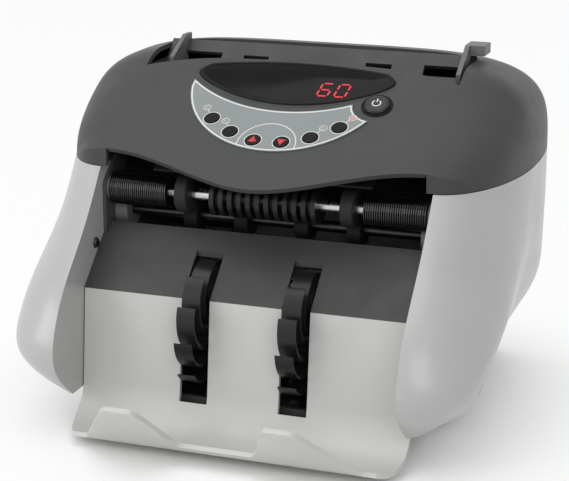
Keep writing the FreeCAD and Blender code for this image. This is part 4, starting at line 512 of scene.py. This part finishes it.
# The hopper's opening, and half the width over which the brow stays open below
HOPPER_HALF, HOPPER_FRONT, HOPPER_BOW, HOPPER_REAR = 89.5, 28.0, 7.0, 73.0
BROW_HALF, BROW_STEP = 88.0, 0.1
SHORT_OF_ONE = 0.999
COVER_THICK, COVER_EDGE = 2.6, 0.9


def rear_roll(y):
    """A quarter circle's fall from the crest to the rear, from 0 to 1."""
    return 1.0 - np.sqrt(1.0 - np.clip((y - CREST) / REAR_ROLL, 0.0, 1.0) ** 2)


def cover_half(y):
    """Half the cover's width along Y: front corners on an ellipse, then straight, then the rear turn."""
    share = np.clip((CHEEK_REAR - np.maximum(y, CHEEK_FRONT)) / CHEEK_RUN, 0.0, 1.0)
    front = BAY + (BODY - BAY) * np.sqrt(1.0 - share ** 2) - np.maximum(CHEEK_FRONT - y, 0.0) * FLARE
    return front - REAR_TURN * rear_roll(y)


def cover_top(y):
    """The cover's height in the middle: the console's slope, an easing to the crest, the roll to the rear."""
    slope = math.tan(SLOPE)
    run = CREST - SLOPE_END
    start = CONSOLE_Z + (SLOPE_END - CONSOLE_Y) * slope
    share = np.clip((y - SLOPE_END) / run, 0.0, 1.0)
    climb = (CREST_TOP - start) * share ** 2 * (3 - 2 * share)
    easing = start + climb + run * slope * share * (1 - share) ** 2
    level = np.where(y < SLOPE_END, start + (y - SLOPE_END) * slope, easing)
    return level - ROLL_DROP * rear_roll(y) ** ROLL_POWER


def eye_distance(x, up):
    """How far a point of the console is outside the eye-shaped lens."""
    arcs = [np.hypot(x, up - middle) - radius for middle, radius in (EYE_LOW, EYE_HIGH)]
    return np.maximum(np.maximum(*arcs), np.abs(x) - EYE_HALF)


def squared(share):
    """The other side of a squared arch, |a|^n + |b|^n = 1."""
    return (1.0 - share ** SQUARE) ** (1 / SQUARE)


def cover_height(x, y):
    """The squared arch across, less the lens's dish."""
    half = cover_half(y)
    z = ARCH_FOOT + (cover_top(y) - ARCH_FOOT) * squared(np.clip(np.abs(x) / half, 0.0, 1.0))
    up = (y - CONSOLE_Y) / math.cos(SLOPE)
    share = np.clip((DISH_REACH - eye_distance(x, up)) / DISH_EASE, 0.0, 1.0)
    return z - DISH_DEPTH * share ** 2 * (3 - 2 * share)


def brow_line(x):
    """The cover's front edge in plan: the brow's curve, then the elliptic cheek."""
    brow = curve(BROW, np.linspace(0.0, 1.0, CURVE_POINTS))
    share = np.clip((np.abs(x) - BAY) / (BODY - BAY), 0.0, CHEEK_SHARE)
    cheek = CHEEK_REAR - CHEEK_RUN * np.sqrt(1.0 - share ** 2)
    return np.where(np.abs(x) < BAY, np.interp(np.abs(x), brow[:, 0], brow[:, 1]), cheek)


def shoulder(y, share):
    """Points of the arch from the hopper's side to the seam, by their angle from the arch's foot."""
    half, tall = cover_half(y), cover_top(y) - ARCH_FOOT
    edge = np.clip(HOPPER_HALF / half, 0.0, SHORT_OF_ONE)
    foot = np.clip((SEAM - ARCH_FOOT) / tall, 0.0, SHORT_OF_ONE)
    high = np.arctan2(squared(edge), edge)
    low = np.arctan2(foot, squared(foot))
    angle = high + (low - high) * share
    reach = (np.cos(angle) ** SQUARE + np.sin(angle) ** SQUARE) ** (-1 / SQUARE)
    return half * reach * np.cos(angle), ARCH_FOOT + tall * reach * np.sin(angle)


def shoulder_front(share, halvings=40):
    """Where each shoulder line meets the cover's front edge, by halving."""
    low, high = (np.full(share.shape, bound) for bound in BROW_RANGE)
    for _ in range(halvings):
        middle = (low + high) / 2.0
        ahead = middle < brow_line(shoulder(middle, share)[0])
        low, high = np.where(ahead, middle, low), np.where(ahead, high, middle)
    return (low + high) / 2.0


def cover_skin(flanks=36, middles=68, rises=84, gaps=22, rolls=34):
    """The cover's outer face as one grid from the brow's edge to the rear seam, open at the hopper."""
    flank = np.linspace(0.0, 1.0, flanks)
    middle = np.append(np.linspace(0.0, BROW_HALF - BROW_STEP, middles), BROW_HALF + BROW_STEP)
    middle = np.concatenate([-middle[:0:-1], middle])
    x_line = np.concatenate([np.full(flanks, -HOPPER_HALF), middle, np.full(flanks, HOPPER_HALF)])
    sides = np.concatenate([flank[::-1], np.zeros(middle.size), flank])
    is_side = np.abs(x_line) == HOPPER_HALF
    start = np.where(is_side, shoulder_front(sides), brow_line(x_line))
    hopper = HOPPER_FRONT + HOPPER_BOW * (1.0 - (x_line / HOPPER_HALF) ** 2)
    rise = np.linspace(0.0, 1.0, rises)[:, None]
    gap = np.linspace(0.0, 1.0, gaps + 2)[1:-1, None]
    roll = np.sin(np.linspace(math.asin((HOPPER_REAR - CREST) / REAR_ROLL), math.pi / 2.0, rolls))[:, None]
    y = np.concatenate([
        start + (hopper - start) * rise,
        hopper + (HOPPER_REAR - hopper) * gap,
        CREST + REAR_ROLL * roll + 0.0 * start,
    ])
    side_x, side_z = shoulder(y, sides)
    x = np.where(is_side, side_x * np.sign(x_line), x_line)
    z = np.where(is_side, side_z, cover_height(x, y))
    top = np.stack([x, y, z], -1)
    brow, rear = top[:1].copy(), top[-1:].copy()
    brow[..., 2] = np.where(np.abs(x_line) > BROW_HALF, SEAM, brow[..., 2])
    rear[..., 2] = SEAM
    skin = np.concatenate([brow, top, rear])
    keep = np.ones((skin.shape[0] - 1, skin.shape[1] - 1), bool)
    keep[rises:rises + gaps + 1, flanks - 1:1 - flanks] = False
    return skin, keep


surface("cover_shell", [cover_skin()], FINISH["cover"], "housing", ("top_cover",), outward=False,
        thick=COVER_THICK, edge=COVER_EDGE)


# Stacker tray

# The lip and the plate in a side view: their lean, a point of each as (y, z), and the trough between them
LIP_LEAN, PLATE_LEAN = math.radians(45.0), math.radians(84.0)
LIP_END, PLATE_FOOT = np.array([-125.0, 39.0]), np.array([-60.5, 34.0])
LIP_SPARE, TROUGH_R, PLATE_TOP = 3.0, 22.0, 75.0
# The lip's edge in a front view: corners outwards from the middle, and the reach that eases them
LIP_EDGE = np.array([(0.0, 13.0), (21.0, 13.0), (33.0, 39.0), (50.0, 39.0), (74.0, 8.5), (95.0, 8.5)])
LIP_EASE = 5.0
# The tray's rounded end in plan as a curve from the bay's wall, and the slots for the finger wheels
TRAY_HALF = 90.9
TRAY_END = np.array([(91.5, -68.0), (88.5, -94.0), (74.0, -97.0)])
SLOT_SIDES, SLOT_FOOT, SLOT_RIM = np.array([19.75, 35.25]), 20.0, 0.4
FAR_AHEAD = -200.0
TRAY_THICK, TRAY_EDGE = 2.5, 0.7


def lip_height(x):
    """The lip's upper edge in a front view: a finger notch, two lobes and low ends."""
    return np.interp(np.abs(x), *LIP_EDGE.T)


def eased(function, x, reach, steps=41):
    """A function averaged over a short reach, which rounds its corners."""
    offsets = np.linspace(-reach, reach, steps)
    weights = np.cos(offsets / reach * math.pi / 2.0) ** 2
    return (function(x[:, None] + offsets) * weights).sum(1) / weights.sum()


def tray_path():
    """The tray in a side view as (y, z) from the lip's end: a leaning lip, a round trough, a steep plate."""
    lip = np.array([-math.cos(LIP_LEAN), math.sin(LIP_LEAN)])
    plate = np.array([math.cos(PLATE_LEAN), math.sin(PLATE_LEAN)])
    run = np.linalg.solve(np.stack([plate, -lip], 1), LIP_END - PLATE_FOOT)
    corner = PLATE_FOOT + plate * run[0]
    half = math.acos(lip @ plate) / 2.0
    inward = (lip + plate) / np.linalg.norm(lip + plate)
    centre = corner + inward * TROUGH_R / math.sin(half)
    reach = TROUGH_R / math.tan(half)
    ends = [corner + way * reach - centre for way in (lip, plate)]
    angles = [math.atan2(end[1], end[0]) % (2 * math.pi) for end in ends]
    turn = np.linspace(*angles, 120)
    bowl = centre + TROUGH_R * np.stack([np.cos(turn), np.sin(turn)], -1)
    long_lip = np.linspace(LIP_END + lip * LIP_SPARE, bowl[0], 80)[:-1]
    top = corner + plate * (PLATE_TOP - corner[1]) / plate[1]
    return np.concatenate([long_lip, bowl, np.linspace(bowl[-1], top, 60)[1:]])


def tray_skin(lip_rows=60, plate_rows=24):
    """The tray's upper face: its side view carried across, trimmed by the lip's edge and the rounded ends."""
    path = tray_path()
    length = np.concatenate([[0.0], np.cumsum(np.hypot(*np.diff(path, axis=0).T))])
    low = path[:, 1].argmin()
    x = np.linspace(0.0, TRAY_HALF, 92)
    x = np.unique(np.concatenate([x, SLOT_SIDES, SLOT_SIDES - SLOT_RIM, SLOT_SIDES + SLOT_RIM]))
    x = np.concatenate([-x[:0:-1], x])
    by_height = np.interp(eased(lip_height, x, LIP_EASE), path[low::-1, 1], length[low::-1])
    share = np.linspace(0.0, 1.0, 60)[:, None]
    end = (1 - share) ** 2 * TRAY_END[0] + 2 * share * (1 - share) * TRAY_END[1] + share ** 2 * TRAY_END[2]
    is_end = np.abs(x) > TRAY_END[2, 0]
    front = np.where(is_end, np.interp(np.abs(x), end[::-1, 0], end[::-1, 1]), FAR_AHEAD)
    begin = np.maximum(by_height, np.interp(front, path[:, 0], length))
    slot = np.interp(SLOT_FOOT, path[low:, 1], length[low:])
    first = begin + (slot - begin) * np.linspace(0.0, 1.0, lip_rows)[:, None]
    second = slot + (length[-1] - slot) * np.linspace(0.0, 1.0, plate_rows)[1:, None] + 0.0 * begin
    place = np.concatenate([first, second])
    y, z = (np.interp(place, length, path[:, axis]) for axis in (0, 1))
    skin = np.stack([x + 0.0 * place, y, z], -1)
    middle = np.abs((x[:-1] + x[1:]) / 2.0)
    keep = np.ones((skin.shape[0] - 1, x.size - 1), bool)
    keep[lip_rows - 1:, (middle > SLOT_SIDES[0]) & (middle < SLOT_SIDES[1])] = False
    return skin, keep


surface("tray_sheet", [tray_skin()], FINISH["tray"], "housing", ("stacker_tray",), outward=False,
        thick=TRAY_THICK, edge=TRAY_EDGE)


# Console

# The angle in degrees from which the edges of printed and lit strips stay sharp
STRIP_SHARP = 30.0
# Where the lens's arcs end, and how far its ends bulge
EYE_REACH, EYE_BULGE = 49.5, 3.4
# The lens's frame: how wide, how high and how deep it sits
FRAME_WIDE, FRAME_HIGH, FRAME_SUNK = 1.1, 0.75, -0.9
# The window: its gap to the frame, its middle line, its draw to the middle, its depth and its rise
WINDOW_GAP, WINDOW_UP, WINDOW_DRAW, WINDOW_SUNK, WINDOW_RISE = 0.3, 91.0, 0.25, -0.62, 0.25


def eye_line(spread, steps=60):
    """The lens's outline: a deep lower arc, a flat upper arc and two rounded ends."""
    arcs = []
    for (middle, radius), way in ((EYE_LOW, -1.0), (EYE_HIGH, 1.0)):
        side = math.asin(EYE_REACH / radius)
        turn = np.linspace(way * side, -way * side, steps)
        wide = radius + spread
        arcs.append(np.stack([wide * np.sin(turn), middle + way * wide * np.cos(turn)], -1))
    low, high = arcs
    swing = np.linspace(0.0, 1.0, 14)[1:-1, None]
    bulge = np.array([EYE_BULGE + spread, 0.0])
    right = low[-1] + (high[0] - low[-1]) * swing + bulge * np.sin(np.pi * swing)
    left = high[-1] + (low[0] - high[-1]) * swing - bulge * np.sin(np.pi * swing)
    return np.concatenate([low, right, high, left, low[:1]])


def lens_ring():
    """A half-round frame carried round the lens's outline."""
    rows = []
    for swing in np.linspace(0.0, 2.0 * np.pi, 13):
        line = eye_line(FRAME_WIDE - FRAME_WIDE * math.cos(swing))
        rows.append(console(line[:, 0], line[:, 1], FRAME_SUNK + FRAME_HIGH * math.sin(swing)))
    return np.stack(rows)


def lens_face():
    """A flat window within the lens's outline, drawn in to its middle line."""
    line = eye_line(WINDOW_GAP)
    share = np.linspace(0.0, 1.0, 10)[:, None]
    across = line[:, 0] * (1.0 - WINDOW_DRAW * share)
    up = line[:, 1] + (WINDOW_UP - line[:, 1]) * share
    height = WINDOW_SUNK + WINDOW_RISE * (1 - (1 - share) ** 2) + 0.0 * up
    return console(across, up, height)


surface("lens_frame", [(lens_ring(), None)], FINISH["key"], "housing")
surface("lens_window", [(lens_face(), None)], FINISH["lens"], "housing")
paint("display_lens", FINISH["lens"])

# Strokes of a digit in the usual order, as (x, y) of both ends in shares of its width and height
STROKES = {
    "a": (0.0, 1.0, 1.0, 1.0), "b": (1.0, 1.0, 1.0, 0.5), "c": (1.0, 0.5, 1.0, 0.0),
    "d": (0.0, 0.0, 1.0, 0.0), "e": (0.0, 0.5, 0.0, 0.0), "f": (0.0, 1.0, 0.0, 0.5),
    "g": (0.0, 0.5, 1.0, 0.5),
}
DIGIT_SIZE, DIGIT_LEAN, DIGIT_UP = np.array([6.0, 10.0]), 0.14, 76.4
DIGITS = {15.6: "acdefg", 25.2: "abcdef"}
STROKE_GAP, STROKE_WIDE, STROKE_HEIGHTS = 0.75, 0.95, (-0.5, -0.3)


def digit(lit, across):
    """The lit strokes of one digit, leaning a little to the right."""
    strips = []
    for label in lit:
        ends = np.array(STROKES[label]).reshape(2, 2) * DIGIT_SIZE
        gap = (ends[1] - ends[0]) / np.linalg.norm(ends[1] - ends[0]) * STROKE_GAP
        ends = ends + np.stack([gap, -gap])
        ends[:, 0] += across + ends[:, 1] * DIGIT_LEAN
        ends[:, 1] += DIGIT_UP
        strips.append((stroke(*ends, STROKE_WIDE, *STROKE_HEIGHTS), None))
    return strips


shown = [strip for across, lit in DIGITS.items() for strip in digit(lit, across)]
surface("digits", shown, LIT_DIGIT, "housing", sharp=STRIP_SHARP)


def meet(first, first_r, second, second_r, side):
    """Where two circles of the console cross, on one side of the line between their middles."""
    first, second = np.array(first), np.array(second)
    gap = np.linalg.norm(second - first)
    along = (gap ** 2 + first_r ** 2 - second_r ** 2) / (2 * gap)
    way = (second - first) / gap
    return first + way * along + side * np.array([-way[1], way[0]]) * math.sqrt(first_r ** 2 - along ** 2)


def arc(centre, radius, start, stop, steps):
    """Points of a circle from one point to another the short way round."""
    first = math.atan2(start[1] - centre[1], start[0] - centre[0])
    last = math.atan2(stop[1] - centre[1], stop[0] - centre[0])
    last = first + (last - first + math.pi) % (2 * math.pi) - math.pi
    turn = np.linspace(first, last, steps)
    return np.array(centre) + radius * np.stack([np.cos(turn), np.sin(turn)], -1)


# Places on the console as (across, up): keys, their lamps and the start button
KEYS = {
    "add_key": (-35.4, 51.9), "batch_key": (-22.2, 42.7), "up_key": (-7.8, 37.6),
    "down_key": (7.8, 37.6), "mode_key": (22.2, 42.7), "detect_key": (35.4, 51.9),
}
LAMPS = {
    "add_key": (-40.7, 60.0), "batch_key": (-27.2, 50.6),
    "mode_key": (27.2, 50.6), "detect_key": (40.7, 60.0),
}
START = (50.7, 71.2)
# The film's arcs as (middle, radius): its lower and upper edges and the hollow round the start button
FILM_LOW, FILM_HIGH, FILM_HOLLOW = ((0.0, 86.8), 56.5), ((0.0, 145.3), 84.0), (START, 12.8)
FILM_LEFT = -55.5
# Print: its heights off the console, the border's insets, and radii of the rings and the arc
PRINT = (0.58, 0.66)
BORDER = (0.5, 1.25)
LAMP_RING, KEY_RING = (1.75, 2.15), (4.5, 4.9)
ARROW_ARC, ARROW_ARC_UP, ARROW_ARC_ENDS = (15.6, 16.1), 35.2, (-5.0, 185.0)
LINK_START, LINK_WIDE = 2.1, 0.4


def film_line(inset):
    """The keypad film's outline, drawn in by an inset: lower arc, left end, upper arc, hollow right end."""
    low, low_r = FILM_LOW[0], FILM_LOW[1] - inset
    high, high_r = FILM_HIGH[0], FILM_HIGH[1] + inset
    hollow, hollow_r = FILM_HOLLOW[0], FILM_HOLLOW[1] + inset
    left = FILM_LEFT + inset
    right = meet(low, low_r, hollow, hollow_r, -1.0)
    top_right = meet(high, high_r, hollow, hollow_r, -1.0)
    low_left = np.array([left, low[1] - math.sqrt(low_r ** 2 - left ** 2)])
    top_left = np.array([left, high[1] - math.sqrt(high_r ** 2 - left ** 2)])
    low_mid = np.array([0.0, low[1] - low_r])
    return np.concatenate([
        arc(low, low_r, right, low_mid, 50), arc(low, low_r, low_mid, low_left, 50)[1:],
        np.linspace(low_left, top_left, 6)[1:], arc(high, high_r, top_left, top_right, 80)[1:],
        arc(hollow, hollow_r, top_right, right, 24)[1:],
    ])


def printed_lines():
    """The film's print: its border, the arc over the arrow keys, rings round lamps and keys, and links."""
    lines = [band(*(film_line(inset) for inset in BORDER), *PRINT)]
    lines.append(ring(0.0, ARROW_ARC_UP, *ARROW_ARC, *PRINT, *ARROW_ARC_ENDS))
    for key, lamp in LAMPS.items():
        lines.append(ring(*lamp, *LAMP_RING, *PRINT))
        way = np.array(KEYS[key]) - np.array(lamp)
        way = way / np.linalg.norm(way)
        ends = np.array(lamp) + way * LINK_START, np.array(KEYS[key]) - way * KEY_RING[0]
        lines.append(stroke(*ends, LINK_WIDE, *PRINT))
    lines.extend(ring(*place, *KEY_RING, *PRINT) for place in KEYS.values())
    return [(line, None) for line in lines]


surface("film_print", printed_lines(), WHITE_PRINT, "housing", sharp=STRIP_SHARP)


# Keys, start button and lamps: profiles are (radius, height off the console)

KEY_PROFILE = [(0.0, 0.95), (2.6, 1.0), (3.55, 1.1), (3.9, 1.02), (4.1, 0.8), (4.1, 0.3), (4.1, -3.0)]
for key, place in KEYS.items():
    cap = turned_on_console(KEY_PROFILE, *place)
    surface(key + "_cap", [(cap, None)], FINISH["key"], key + "_plunger", (key,))

ARROW_HALF, ARROW_TALL, ARROW_HEIGHT, ARROW_SHIFT, ARROW_THICK = 2.5, 4.4, 1.16, 0.2, 0.2


def arrow(across, up, tall):
    """An arrow head on a key, as a grid that closes to its tip; tall below zero points down the slope."""
    share = np.linspace(0.0, 1.0, 5)[:, None]
    half = ARROW_HALF * (1.0 - share) * np.array([-1.0, 1.0])
    rise = up - tall / 3.0 + tall * share + 0.0 * half
    top = console(across + half, rise, ARROW_HEIGHT)
    return top if tall > 0 else top[:, ::-1]


for side, way in (("up", 1.0), ("down", -1.0)):
    across, up = KEYS[side + "_key"]
    head = arrow(across, up - way * ARROW_SHIFT, way * ARROW_TALL)
    surface(side + "_mark", [(head, None)], RED_PRINT, side + "_key_plunger", outward=False,
            thick=ARROW_THICK)

BUTTON_PROFILE = [(0.0, 2.0), (3.0, 1.96), (5.2, 1.85), (6.2, 1.62), (6.7, 1.2), (6.9, 0.6), (6.9, -3.0)]
BEZEL_PROFILE = [(7.2, -0.6), (7.25, 0.35), (7.5, 0.6), (8.0, 0.62), (8.4, 0.35), (8.5, -0.6)]
surface("start_cap", [(turned_on_console(BUTTON_PROFILE, *START), None)], FINISH["button"],
        "start_button_plunger", ("start_button",))
surface("start_bezel", [(turned_on_console(BEZEL_PROFILE, *START), None)], FINISH["key"], "housing")

# The power sign: an open ring with a stroke in its gap
MARK_RING, MARK_RING_HEIGHTS, MARK_RING_ENDS = (1.9, 2.5), (1.9, 2.05), (125.0, 415.0)
MARK_STROKE, MARK_STROKE_WIDE, MARK_STROKE_HEIGHTS = (1.0, 3.4), 0.65, (1.9, 2.04)
mark_ring = ring(*START, *MARK_RING, *MARK_RING_HEIGHTS, *MARK_RING_ENDS)
mark_ends = [(START[0], START[1] + rise) for rise in MARK_STROKE]
mark_stroke = stroke(*mark_ends, MARK_STROKE_WIDE, *MARK_STROKE_HEIGHTS)
surface("start_mark", [(mark_ring, None), (mark_stroke, None)], WHITE_PRINT, "start_button_plunger",
        sharp=STRIP_SHARP)

LAMP_PROFILE = [(0.0, 1.15), (0.7, 1.05), (1.2, 0.85), (1.45, 0.6), (1.45, -2.0)]
LIT = "detect_key"
for key, place in LAMPS.items():
    dome = turned_on_console(LAMP_PROFILE, *place, steps=32)
    surface(key + "_lamp", [(dome, None)], LIT_LAMP if key == LIT else FINISH["lamp"], "housing")
paint("indicator_lenses", FINISH["lamp"])


# Exit rollers

# The shaft's place as (y, z), and the roller's ends, bore, radius, and number and depth of ribs
EXIT = (-22.0, 122.2)
RIB_IN, RIB_OUT, RIB_BORE, RIB_R, RIBS, RIB_DEPTH = 54.5, 88.0, 3.0, 9.0, 28, 0.75
# Points along a roller, and the angle in degrees from which its edges stay sharp
RIB_POINTS, RIB_SHARP = 341, 70.0


def ribbed(sign):
    """A long roller with fine round ribs: its radius less a wave along X."""
    x = np.linspace(RIB_IN, RIB_OUT, RIB_POINTS)
    wave = 0.5 - 0.5 * np.cos((x - RIB_IN) / (RIB_OUT - RIB_IN) * RIBS * 2.0 * np.pi)
    radius = RIB_R - RIB_DEPTH + RIB_DEPTH * np.sqrt(wave)
    profile = np.concatenate([[(RIB_IN, RIB_BORE)], np.stack([x, radius], -1), [(RIB_OUT, RIB_BORE)]])
    return turned_on_shaft(profile * np.array([sign, 1.0]), EXIT)


surface("ribbed_left", [(ribbed(-1.0), None)], RIB_BLACK, "exit_rotor", ("ribbed_rollers",),
        sharp=RIB_SHARP)
surface("ribbed_right", [(ribbed(1.0), None)], RIB_BLACK, "exit_rotor", sharp=RIB_SHARP)


# The other solids keep their shape; the round ones are shaded smooth

ROUND_SOLIDS = {
    "rubber_feet": "rubber", "exit_tyres": "rubber", "drive_rollers": "rubber", "feed_rollers": "rubber",
    "pickup_rollers": "rubber", "retard_roller": "rubber", "left_belts": "rubber", "right_belts": "rubber",
    "stacker_shaft": "steel", "exit_shaft": "steel", "drive_shaft": "steel", "feed_shaft": "steel",
    "pickup_shaft": "steel", "retard_axle": "steel", "frame_tie_bars": "steel", "cover_screws": "steel",
    "left_stacker_wheel": "black_plastic", "right_stacker_wheel": "black_plastic",
    "exit_discs": "black_plastic", "wall_screws": "black_plastic", "shaft_bushes": "boss",
    "stacker_pulley": "pulley", "exit_gear": "pulley", "drive_gear": "pulley", "drive_pulleys": "pulley",
    "feed_pulleys": "pulley", "pickup_pulley": "pulley", "motor_pulley": "pulley", "drive_motor": "motor",
    "base_pan": "pan",
}
FLAT_SOLIDS = {
    "stacker_back_plate": "back_plate", "upper_guide": "back_plate", "hopper_plate": "back_plate",
    "note_bed": "back_plate", "left_hopper_guide": "guide", "right_hopper_guide": "guide",
    "keypad_panel": "keypad", "display_board": "board", "control_board": "board", "power_supply": "board",
    "left_frame_plate": "frame", "right_frame_plate": "frame", "power_inlet": "black_plastic",
    "power_switch": "black_plastic", "power_rocker": "black_plastic", "rear_cover": "panel",
}
# Pieces deep in the mouth get painted shade: darker finishes than their slot's, which stand for the shadow
# there
MOUTH_SHADE_FINISH = {
    "drive_shaft": SHADE_DARK_STEEL, "display_board": SHADE_DARK_BOARD, "drive_rollers": SHADE_DARK_RUBBER,
    "upper_guide": SHADE_DARK_BOARD, "note_bed": SHADE_DARK_BOARD,
}
for node, slot in ROUND_SOLIDS.items():
    polished_copy(node, MOUTH_SHADE_FINISH.get(node, FINISH[slot]))
for node, slot in FLAT_SOLIDS.items():
    paint(node, MOUTH_SHADE_FINISH.get(node, FINISH[slot]))


# Stage, light and camera, in metres

# Half the floor's side, and its lines each way
FLOOR_HALF, FLOOR_LINES = 4.0, 9
# The shadow at a foot: how far it reaches, the openness that is darkest, and the white share of open floor
SHADOW_REACH, SHADOW_DARKEST, OPEN_WHITE = 0.09, 0.15, 0.9
# The background as it is seen, and as it lights the object
SKY_SEEN, SKY_FILL = 1.0, 0.5
# Lamps face the middle of the object
LAMP_AIM = (0.0, 0.0, 0.1)
CAMERA_PLACE, CAMERA_AIM = (0.293349, -0.838493, 0.356239), (0.0, 0.005156, 0.092720)
# The camera's focal length and sensor in millimetres
CAMERA_LENS, CAMERA_SENSOR = 108.19, 36.0


def background_rays(tree):
    """One for rays that show the background: from the camera, or mirrored or passed on by a piece."""
    rays = tree.nodes.new("ShaderNodeLightPath")
    total = rays.outputs["Is Camera Ray"]
    for label in ("Is Glossy Ray", "Is Transmission Ray"):
        more = tree.nodes.new("ShaderNodeMath")
        more.operation = "MAXIMUM"
        tree.links.new(total, more.inputs[0])
        tree.links.new(rays.outputs[label], more.inputs[1])
        total = more.outputs[0]
    return total


def floor_finish():
    """A pale floor with a faint unevenness, whitened for the rays that show the background."""
    material = finish("floor_pale", (0.92, 0.92, 0.915), 0.004, (0.6, 0.7), 300.0, 0.02, specular=0.2)
    tree = material.node_tree
    white = tree.nodes.new("ShaderNodeEmission")
    share = tree.nodes.new("ShaderNodeMath")
    share.operation = "MULTIPLY"
    open_sky = tree.nodes.new("ShaderNodeAmbientOcclusion")
    open_sky.inputs["Distance"].default_value = SHADOW_REACH
    spread = tree.nodes.new("ShaderNodeMapRange")
    spread.inputs["From Min"].default_value = SHADOW_DARKEST
    spread.inputs["To Max"].default_value = OPEN_WHITE
    tree.links.new(open_sky.outputs["AO"], spread.inputs["Value"])
    tree.links.new(spread.outputs["Result"], share.inputs[1])
    either = tree.nodes.new("ShaderNodeMixShader")
    tree.links.new(background_rays(tree), share.inputs[0])
    tree.links.new(share.outputs[0], either.inputs[0])
    tree.links.new(tree.nodes["Principled BSDF"].outputs[0], either.inputs[1])
    tree.links.new(white.outputs[0], either.inputs[2])
    tree.links.new(either.outputs[0], tree.nodes["Material Output"].inputs["Surface"])
    return material


floor_mesh = bpy.data.meshes.new("floor")
floor_line = np.linspace(-FLOOR_HALF, FLOOR_HALF, FLOOR_LINES)
floor_x, floor_y = np.meshgrid(floor_line, floor_line)
floor_points = np.stack([floor_x, floor_y, np.zeros_like(floor_x)], -1)
floor_mesh.from_pydata(floor_points.reshape(-1, 3).tolist(), [], grid_faces(floor_points).tolist())
floor_mesh.materials.append(floor_finish())
floor = bpy.data.objects.new("floor", floor_mesh)
bpy.context.collection.objects.link(floor)


def facing(place, aim):
    """The turn that points a lamp or a camera from its place to an aim."""
    return (Vector(aim) - Vector(place)).to_track_quat("-Z", "Y").to_euler()


def soft_lamp(name, place, size, power):
    """A square softbox that faces the object."""
    lamp = bpy.data.lights.new(name, "AREA")
    lamp.size = size
    lamp.energy = power
    piece = bpy.data.objects.new(name, lamp)
    piece.location = place
    piece.rotation_euler = facing(place, LAMP_AIM)
    bpy.context.collection.objects.link(piece)


# Places, sizes and watts of the softboxes
soft_lamp("over_lamp", (-0.25, -0.2, 1.6), 1.4, 9.0)
soft_lamp("front_lamp", (0.9, -1.5, 0.9), 1.0, 7.8)
soft_lamp("side_lamp", (-1.3, -1.1, 0.7), 1.0, 10.5)


def sky(tree, strength):
    """A white background of a given strength."""
    node = tree.nodes.new("ShaderNodeBackground")
    node.inputs["Color"].default_value = (1.0, 1.0, 1.0, 1.0)
    node.inputs["Strength"].default_value = strength
    return node.outputs[0]


world = bpy.data.worlds.new("studio")
bpy.context.scene.world = world
world.use_nodes = True
tree = world.node_tree
tree.nodes.clear()
either = tree.nodes.new("ShaderNodeMixShader")
leave = tree.nodes.new("ShaderNodeOutputWorld")
tree.links.new(background_rays(tree), either.inputs[0])
tree.links.new(sky(tree, SKY_FILL), either.inputs[1])
tree.links.new(sky(tree, SKY_SEEN), either.inputs[2])
tree.links.new(either.outputs[0], leave.inputs["Surface"])

camera_data = bpy.data.cameras.new("camera")
camera_data.sensor_width = CAMERA_SENSOR
camera_data.lens = CAMERA_LENS
camera = bpy.data.objects.new("camera", camera_data)
camera.location = CAMERA_PLACE
camera.rotation_euler = facing(CAMERA_PLACE, CAMERA_AIM)
bpy.context.collection.objects.link(camera)
bpy.context.scene.camera = camera
bpy.context.scene.view_settings.view_transform = "Standard"
